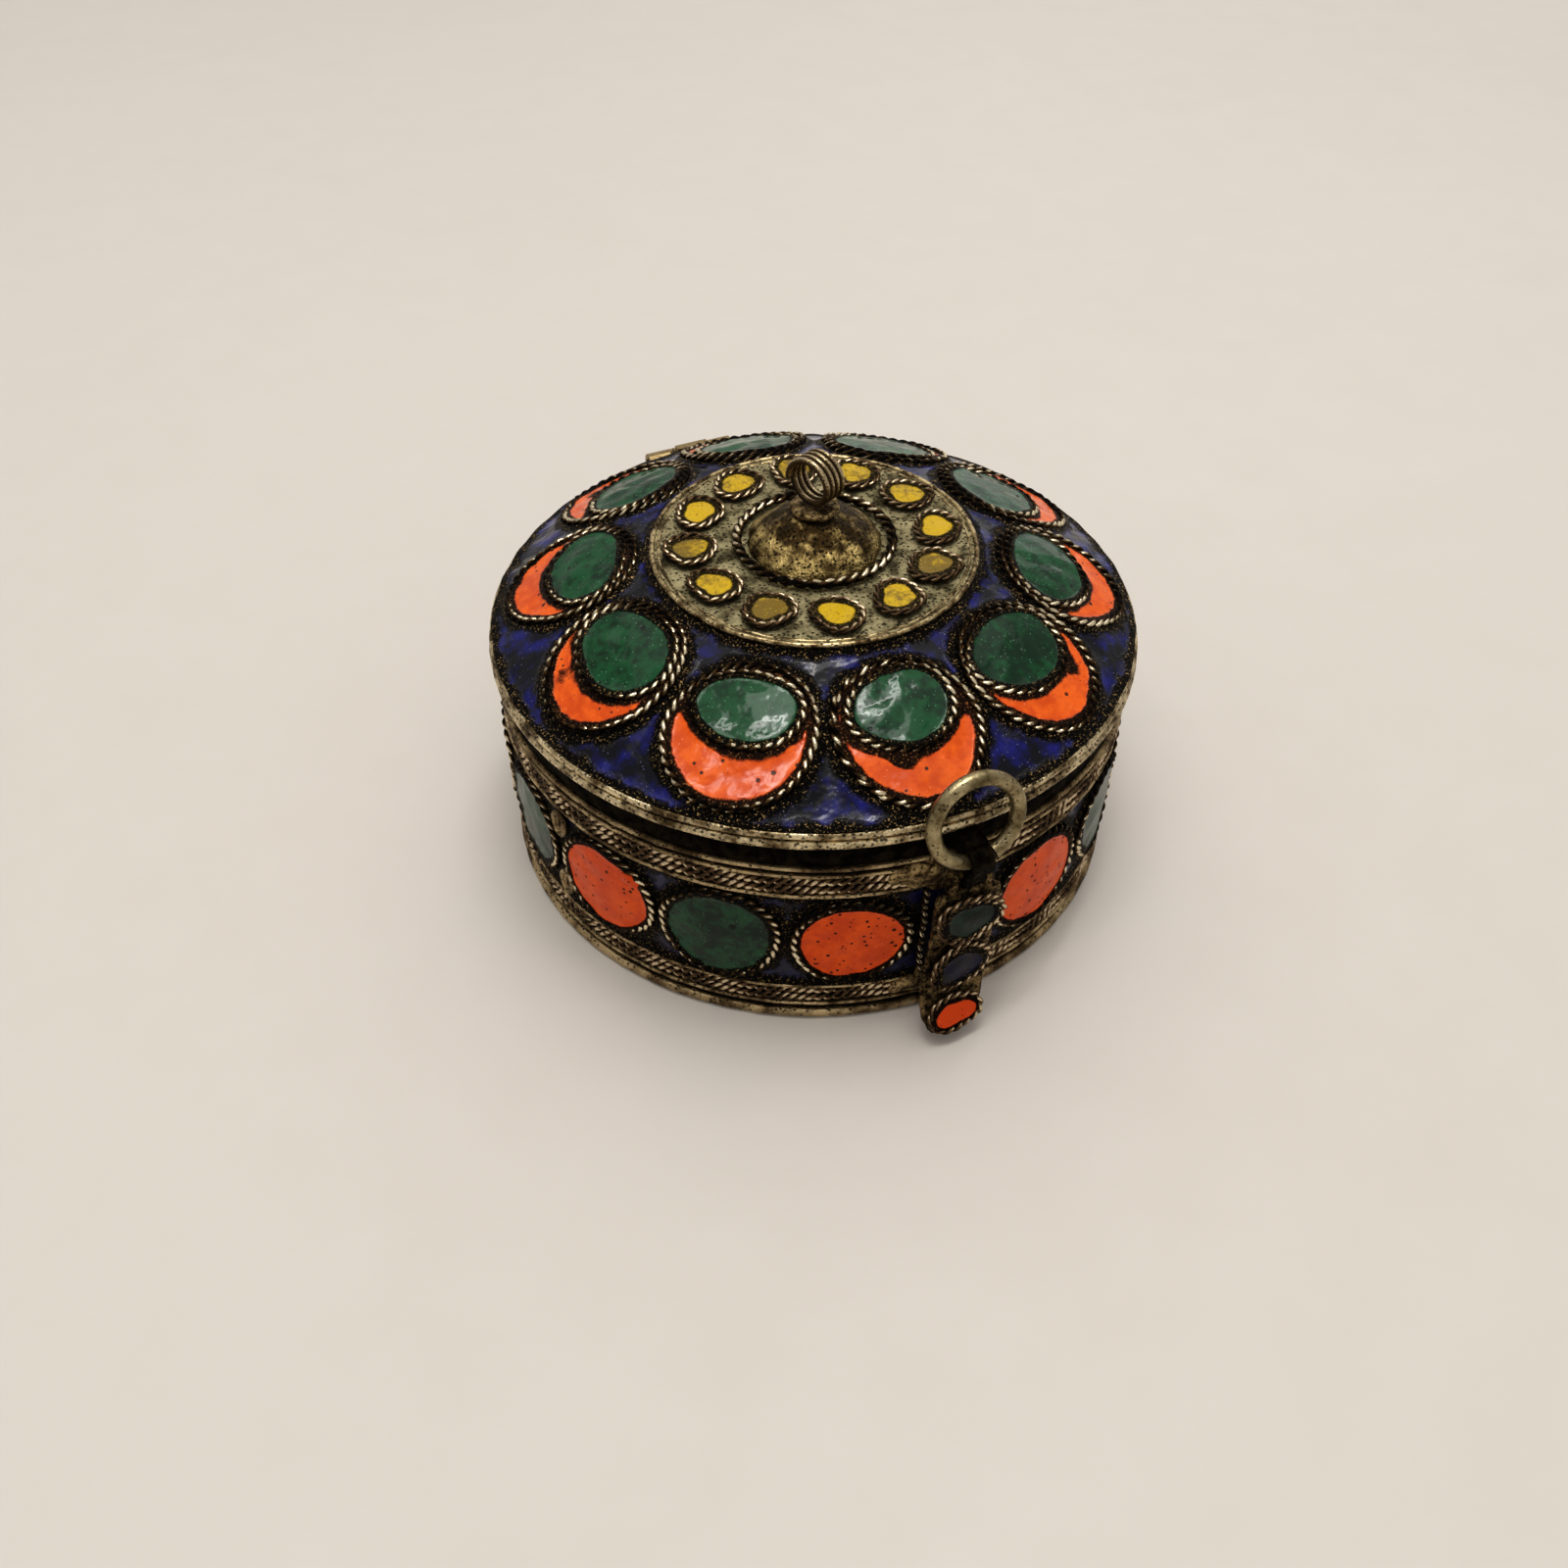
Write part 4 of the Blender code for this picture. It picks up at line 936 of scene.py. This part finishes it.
paths, greens, oranges, wallShapes = [], [], [], []
number = 0
for row, side in enumerate((-1, 1)):
    for i in range(wallCell["perSide"]):
        azimuth = side * (wallCell["first"] + cellPitch * i)
        place = wallPlace(azimuth, cellMiddle)
        size = wallCell["size"][row][i]
        shape = outline(cellHalfSide * size, cellHalfUp * size, 700 + number, wander=0.018)
        wallShapes.append((azimuth, shape))
        half = cell["rope"] / 2
        paths.append(loopPath(place, shape, half, ropeMiddle, 80))
        patch = pool(place, shape, half, poolBase, cell["crown"], 800 + number)
        (greens if i % 2 else oranges).append(patch)
        number += 1
spill = dict(azimuth=math.radians(-56.6), height=0.0170, halfSide=0.0011, halfUp=0.0008, base=0.00105,
             crown=0.0003, clean=0.001)  # a drop of orange on the blue, with no soot at its edge
shape = outline(spill["halfSide"], spill["halfUp"], 780, wander=0.12)
patch = pool(wallPlace(spill["azimuth"], spill["height"]), shape, 0.0, spill["base"], spill["crown"], 781)
patch[2]["edge"][:] = spill["clean"]
oranges.append(patch)
windPiece("wallRopes", [(paths, loopWire)], "box", [f"wall_cell_{i + 1:02d}" for i in range(number)])
addPiece("wallGreens", greens, "wallGreen", "box")
addPiece("wallOranges", oranges, "wallOrange", "box")

wallLook = dict(turns=900, rows=30, depth=0.00030, climb=0.00045, reach=0.00045, wave=0.00008, waveSize=0.005,
                within=0.0004, under=0.0001)


def wallGroundPatch():
    look = wallLook
    azimuth = np.arange(look["turns"]) * math.tau / look["turns"]
    height = np.linspace(enamelLow - look["within"], enamelHigh + look["within"], look["rows"])
    height, azimuth = np.meshgrid(height, azimuth, indexing="ij")
    away = np.minimum(height - enamelLow, enamelHigh - height)
    inside = np.zeros(height.shape, bool)
    for angle, shape in wallShapes:
        side = ((azimuth - angle + math.pi) % math.tau - math.pi) * drum["radius"]
        gap = beyond(shape, side, height - cellMiddle)
        away = np.minimum(away, np.abs(gap))
        inside |= gap < -look["within"]
    spots = np.stack((azimuth * drum["radius"], height), -1)
    waves = ripple(spots, look["waveSize"], 8) * np.sin(azimuth / 2) ** 2
    flat = way(azimuth) * (drum["radius"] + groundAbove(look, away, inside, waves))[..., None]
    points = raised(flat, height).reshape(-1, 3)
    tone = 0.05 * ripple(points, 0.008, 9)
    return groundPatch(points, gridFaces(look["rows"], look["turns"]), points * (1, 1, 0), away, inside, tone)


addPiece("wallGround", [wallGroundPatch()], "wallBlue", "box")

eye = dict(rise=0.70, halfWidth=0.0014, wires=((0.00035, 0.00035, 0.00075), (0.00091, 0.000245, 0.00065)))
between = -(wallCell["first"] + cellPitch * 2.5)
eyeRise = cellHalfUp * eye["rise"]
eyeHalf = (enamelHigh - enamelLow) / 2 - cell["gap"] - eyeRise
pile = []
for up in (eyeRise, -eyeRise):
    shape = outline(eye["halfWidth"], eyeHalf, 900, wander=0.03)
    for inset, wire, above in eye["wires"]:
        points = loopPath(wallPlace(between, cellMiddle + up), shape, inset, above, 36)[0]
        pile.append(tubePatch(points, wire, 8, closed=True))
addPiece("eyeLoops", pile, "band", "box", ["wall_loop_upper", "wall_loop_lower"])
print("drum and its cells set")


# ---- Bands round the drum

bandLook = dict(depth=0.0009, turns=360, dent=0.00005, dentSize=0.003, pitch=0.0022, backing=0.0006,
                # from and to these heights over the band's foot
                upperWires=((0.0, 0.00045), (0.0031, 0.0035), (0.0041, 0.0046)),
                upperRows=((0.00050, 0.00175), (0.00175, 0.0030)),
                lowerWires=((0.0006, 0.0010), (0.0036, 0.0040)),
                lowerRows=((0.0012, 0.0024), (0.0024, 0.0036)))
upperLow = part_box("upper_band")[0][2]
lowerLow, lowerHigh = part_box("lower_band")[0][2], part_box("lower_band")[1][2]
footLow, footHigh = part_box("base_rim")[0][2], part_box("base_rim")[1][2]


def bandPath(height, radius):
    turn = np.arange(bandLook["turns"]) * math.tau / bandLook["turns"]
    points = raised(way(turn) * radius, height)
    points[:, 2] += 0.00005 * np.sin(turn * 7 + height * 900) + 0.00004 * np.sin(turn * 13)
    return points, raised(way(turn), 0.0), True


def bandRow(low, high):
    half = (high - low) / 2
    strand = half * 0.46
    radius = drum["radius"] + bandLook["depth"] - strand - 0.0002
    sizes = {"Spread": half * 0.55, "Height": 0.00022, "Jitter": 0.0001, "Strand Radius": strand,
             "Pitch": bandLook["pitch"], "Sides": 7}
    return [bandPath((low + high) / 2, radius)], sizes


rows, wires = [], []
outer = drum["radius"] + bandLook["depth"]
inner = drum["radius"] - 0.0002
for foot, part in ((upperLow, "upper"), (lowerLow, "lower")):
    rows += [bandRow(foot + low, foot + high) for low, high in bandLook[part + "Rows"]]
    for low, high in bandLook[part + "Wires"]:
        section = wireStack((foot + low, foot + high), outer, inner)
        wires.append(turnedPatch(section, 256, True, bandLook["dent"], bandLook["dentSize"], len(wires) + 51))
windPiece("bandRopes", rows, "box", ["upper_band", "lower_band"], "braid")
addPiece("bandWires", wires, "band", "box")
# Near-black rings behind the braids and up the neck under the lid: painted shade in the gaps between band wires
# and under the lid's rim
backing = []
for low, high in ((upperLow + 0.0004, neckTop), (footLow + 0.0004, lowerHigh - 0.0003)):
    front = inner + bandLook["backing"]
    section = [(inner, low), (front, low), (front, high), (inner, high)]
    backing.append(turnedPatch(section, 200, True))
addPiece("shadeBehindBands", backing, "paintedShade", "box")
section = wireStack((footLow + 0.00005, footHigh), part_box("base_rim")[1][0], inner, 9)
addPiece("baseWire", [turnedPatch(section, 256, True, bandLook["dent"], 0.004, 61)], "band", "box",
         ["base_rim"])

postHalf = 0.0005
postAngle = (cellHalfSide + cell["gap"] + postHalf) / drum["radius"] - wallCell["first"]
levels = np.linspace(enamelLow + cell["gap"], enamelHigh - cell["gap"], 30)
flat = way(np.full(len(levels), postAngle))
postRope = (raised(flat * (drum["radius"] + cell["gap"] + postHalf), levels), raised(flat, 0.0), False)
windPiece("seamPost", [([postRope], smallWire)], "box", ["seam_post"])
solder = (  # lumps left of the hasp: degrees, then height, half width and half height in mm
    (-8.2, 22.4, 2.6, 1.9), (-4.6, 22.0, 2.2, 2.3), (-7.6, 4.2, 2.0, 1.6), (-5.2, 5.4, 1.2, 1.5))
lumps = []
for number, (degrees, height, halfWide, halfHigh) in enumerate(solder):
    shape = outline(halfWide / 1000, halfHigh / 1000, 940 + number, wander=0.10)
    place = wallPlace(math.radians(degrees), height / 1000)
    lumps.append(pool(place, shape, 0.0, 0.00075, 0.00050, 945 + number, wave=0.00025))
addPiece("solderLumps", lumps, "solder", "box")
print("bands wound")


# ---- Hasp

hasp = dict(width=0.0085, thickness=0.0013, back=0.0390, front=0.0403, top=0.0210, foot=0.0013, flare=0.0028,
            flareHeight=0.0068, sway=0.0018, aside=0.0005, pivot=(-0.0392, 0.0228), earRadius=0.0008,
            earSide=0.00205, pin=0.0005, skin=0.00008, closing=0.0006)


def haspFlare(level):
    share = np.maximum(0, 1 - (level - hasp["foot"]) / hasp["flareHeight"])
    return hasp["flare"] * share ** 1.5


def haspSway(level):
    return hasp["aside"] + hasp["sway"] * ((hasp["top"] - level) / (hasp["top"] - hasp["foot"])) ** 2


def haspHalf(level):
    half = hasp["width"] / 2
    rise = np.minimum(1, (level - hasp["foot"]) / half)
    return half * (0.35 + 0.65 * np.sqrt(np.maximum(0, 1 - (1 - rise) ** 2)))


def platePlace(height, front):
    def place(side, up, above):
        side, up, above = np.broadcast_arrays(side, up, above)
        level = height + up
        return np.stack((side - haspSway(level), -(front + above + haspFlare(level)), level), -1)
    return place


def haspSkinPatch():
    stations, around = 60, 64
    share = np.linspace(0, 1, stations)
    levels = hasp["foot"] + (hasp["top"] - hasp["foot"]) * share ** 1.4
    turn = np.arange(around) * math.tau / around
    square = np.maximum(np.abs(np.cos(turn)), np.abs(np.sin(turn)))
    corner = 0.35 + 0.65 / square
    rings = []
    depth = hasp["thickness"] / 2
    for level in levels:
        close = min(1.0, 0.15 + (level - hasp["foot"]) / hasp["closing"],
                    0.35 + (hasp["top"] - level) / hasp["closing"])
        half = haspHalf(level) * (0.7 + 0.3 * close)
        middle = hasp["back"] + depth + haspFlare(level)
        behind = 1 - 0.30 * np.clip(0.5 - np.sin(turn) * corner / 2, 0, 1)  # narrower at the back
        side = np.clip(np.cos(turn) * corner, -1, 1) * (half + hasp["skin"]) * behind
        out = np.clip(np.sin(turn) * corner, -1, 1) * (depth + hasp["skin"]) * close
        rings.append(np.stack((side - haspSway(level), -(middle + out), np.full(around, level)), -1))
    points = np.concatenate(rings)
    grain = (ripple(points, 0.0009, 71) + ripple(points, 0.0022, 72)) * hasp["skin"]
    centre = np.repeat([ring.mean(0) for ring in rings], around, 0)
    points = points + unit(points - centre) * grain[:, None]
    faces = [gridFaces(stations, around)]
    points, faces = capped(points, faces, stations, around, [rings[0].mean(0), rings[-1].mean(0)])
    return outward((points, faces, {}))


pivotY, pivotZ = hasp["pivot"]
pile = [haspSkinPatch()]
for side in (-1, 1):  # the ears, and between them the pin
    ear = [(side * hasp["earSide"], pivotY - 0.0004 * share, pivotZ - 0.0030 * share)
           for share in np.linspace(0, 1, 9)]
    pile.append(tubePatch(ear, hasp["earRadius"], 16))
pin = [(x, pivotY, pivotZ) for x in np.linspace(-hasp["earSide"], hasp["earSide"], 6)]
pile.append(tubePatch(pin, hasp["pin"], 12))
addPiece("haspSkin", pile, "tongue", "hasp", ["hasp_plate"])

halfSide = hasp["width"] / 2 - cell["gap"] / 2
halfUp = (hasp["top"] - hasp["foot"] - hasp["flareHeight"] * 0.75) / 4 - cell["gap"] / 2
upperCell = hasp["top"] - cell["gap"] / 2 - halfUp
lowerCell = upperCell - 2 * halfUp - cell["gap"]
tipTop = lowerCell - halfUp - cell["gap"]
tipHalf = (tipTop - hasp["foot"] - cell["gap"]) / 2
half = tongueWire["Strand Radius"] * 2
paths = []
# middle, half width, half height, finish, slot, tone, and as shares of half the pool's and the loops' insets
haspCells = (
    (upperCell + 0.0002, halfSide, halfUp + 0.0004, "darkGreen", "green_enamel", 0.0, 1.5, (1.0, 2.2)),
    (lowerCell, halfSide, halfUp, "darkBlue", "blue_enamel", 0.0, 1.5, (1.0, 2.2)),
    (tipTop - tipHalf, halfSide * 0.84, tipHalf, "wallOrange", "orange_enamel", -0.3, 1.0, (1.0,)))
for number, (level, side, up, shade, slot, tone, poolInset, loopInsets) in enumerate(haspCells):
    place = platePlace(level, hasp["front"])
    shape = outline(side, up, 950 + number, wander=0.05)
    for layer, inset in enumerate(loopInsets):
        paths.append(loopPath(place, shape, half * inset, ropeMiddle - 0.0001 * layer, 60))
    patch = pool(place, shape, half * poolInset, poolBase, cell["crown"], 970 + number, tone=tone)
    stands = "hasp_cell_" + ("upper", "lower", "tip")[number]
    addPiece(f"hasp{shade[0].upper()}{shade[1:]}", [patch], shade, "hasp", [stands])
windPiece("haspRopes", [(paths, tongueWire)], "hasp", finish="braid")


# ---- Pull ring

ring = dict(radius=0.0049, wire=0.00085, rightEnd=0.42, leftEnd=0.12, pivot=(0.0, -0.0401, 0.0255),
            stations=110)
restsAt = -(rimLook["reach"][0] + cell["gap"] + ring["wire"])  # it lies against the rim
lean = math.atan2(restsAt - ring["pivot"][1], lid["edge"] - ring["pivot"][2])
turn = np.linspace(ring["rightEnd"], math.tau - ring["leftEnd"], ring["stations"])
spots = np.stack((np.sin(turn), np.zeros_like(turn), 1 - np.cos(turn)), -1) * ring["radius"]
leaning = np.array(Matrix.Rotation(lean, 3, "X").inverted())
ringPath = np.array(ring["pivot"]) + spots @ leaning.T
addPiece("pullRing", [tubePatch(ringPath, ring["wire"], 20, flatStart=True)], "ring", "ring", ["pull_ring"])
print("hasp and ring hung")

# The CAD parts that stay as they are take a finish from here
# The hasp lug is painted near black as painted shade, so that it reads as a shadow gap
for name, finish in (("hasp_lug", "paintedShade"), ("lid_hinge", "sheet"), ("box_hinge", "sheet"),
                     ("hinge_pin", "band")):
    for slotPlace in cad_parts[name].material_slots:
        slotPlace.material = finishes[finish]


# ---- Floor, light and camera

floorLook = dict(size=3.0, colour=rgb(218, 212, 205), speck=rgb(200, 193, 184))


def floorFinish():
    material, board, where = newMaterial("paleTable")
    broad = board.noise(where, 0.25, 3.0)
    fine = board.noise(where, 0.012, 4.0)
    colour = board.mix(broad * 0.35 + fine * 0.25, floorLook["colour"], floorLook["speck"])
    surfaced(board, colour=colour, roughness=0.55 + fine * 0.1, normal=board.bump(fine, 0.00005))
    return material


half = floorLook["size"] / 2
mesh = bpy.data.meshes.new("floor")
mesh.from_pydata([(-half, -half, 0), (half, -half, 0), (half, half, 0), (-half, half, 0)], [], [(0, 1, 2, 3)])
mesh.materials.append(floorFinish())
floor = bpy.data.objects.new("floor", mesh)
bpy.context.scene.collection.objects.link(floor)

paleLight = (1.0, 0.98, 0.95)
strip = dict(height=0.90, size=0.03, length=0.60, power=1.0, colour=paleLight)
lights = (  # azimuths run from the camera's side
    dict(name="overhead", azimuth=180, distance=0.25, height=0.95, size=1.30, power=2.2,
         colour=(1.0, 0.97, 0.92)),
    dict(strip, name="leftStrip", azimuth=150, distance=0.10),
    dict(strip, name="rightStrip", azimuth=-60, distance=0.12),
    dict(name="ceilingPanel", azimuth=180, distance=0.04, height=0.92, size=0.44, power=1.40, colour=paleLight),
    dict(name="frontFill", azimuth=20, distance=1.2, height=0.9, size=0.9, power=0.8,
         colour=(1.0, 0.96, 0.91)),
    dict(name="backGlow", azimuth=165, distance=1.6, height=0.45, size=1.0, power=1.5, colour=paleLight),
)
for setting in lights:
    lamp = bpy.data.lights.new(setting["name"], "AREA")
    lamp.size, lamp.energy, lamp.color = setting["size"], setting["power"], setting["colour"]
    if "length" in setting:
        lamp.shape, lamp.size_y = "RECTANGLE", setting["length"]
    source = bpy.data.objects.new(setting["name"], lamp)
    flat = way(photoSide + math.radians(setting["azimuth"])) * setting["distance"]
    source.location = (flat[0], flat[1], setting["height"])
    source.rotation_euler = (Vector((0, 0, 0.02)) - source.location).to_track_quat("-Z", "Y").to_euler()
    bpy.context.scene.collection.objects.link(source)

world = bpy.data.worlds.new("room")
world.use_nodes = True
glow = world.node_tree.nodes["Background"].inputs
glow["Color"].default_value = (1.0, 0.972, 0.94, 1.0)
glow["Strength"].default_value = 0.41
bpy.context.scene.world = world
bpy.context.scene.view_settings.view_transform = "Standard"
bpy.context.scene.view_settings.look = "Medium High Contrast"

view = dict(elevation=math.radians(44.21), distance=0.1965, shift=-0.00332, rise=0.00065,
            roll=math.radians(0.24), focal=1521.0, picture=1600.0, sensor=36.0)
level = way(photoSide) * math.cos(view["elevation"])
back = Vector((level[0], level[1], math.sin(view["elevation"])))
right = Vector((0, 0, 1)).cross(back).normalized()
upward = back.cross(right)
spot = right * view["shift"] + Vector((0, 0, view["rise"])) + back * view["distance"]
cos, sin = math.cos(view["roll"]), math.sin(view["roll"])
rolledRight, rolledUp = right * cos + upward * sin, upward * cos - right * sin
camera = bpy.data.objects.new("photoView", bpy.data.cameras.new("photoView"))
camera.data.sensor_fit = "HORIZONTAL"
camera.data.sensor_width = view["sensor"]
camera.data.lens = view["focal"] * view["sensor"] / view["picture"]
camera.data.clip_start = 0.005
camera.matrix_world = Matrix((
    (rolledRight.x, rolledUp.x, back.x, spot.x), (rolledRight.y, rolledUp.y, back.y, spot.y),
    (rolledRight.z, rolledUp.z, back.z, spot.z), (0, 0, 0, 1)))
bpy.context.scene.collection.objects.link(camera)
bpy.context.scene.camera = camera

print("scene ready")
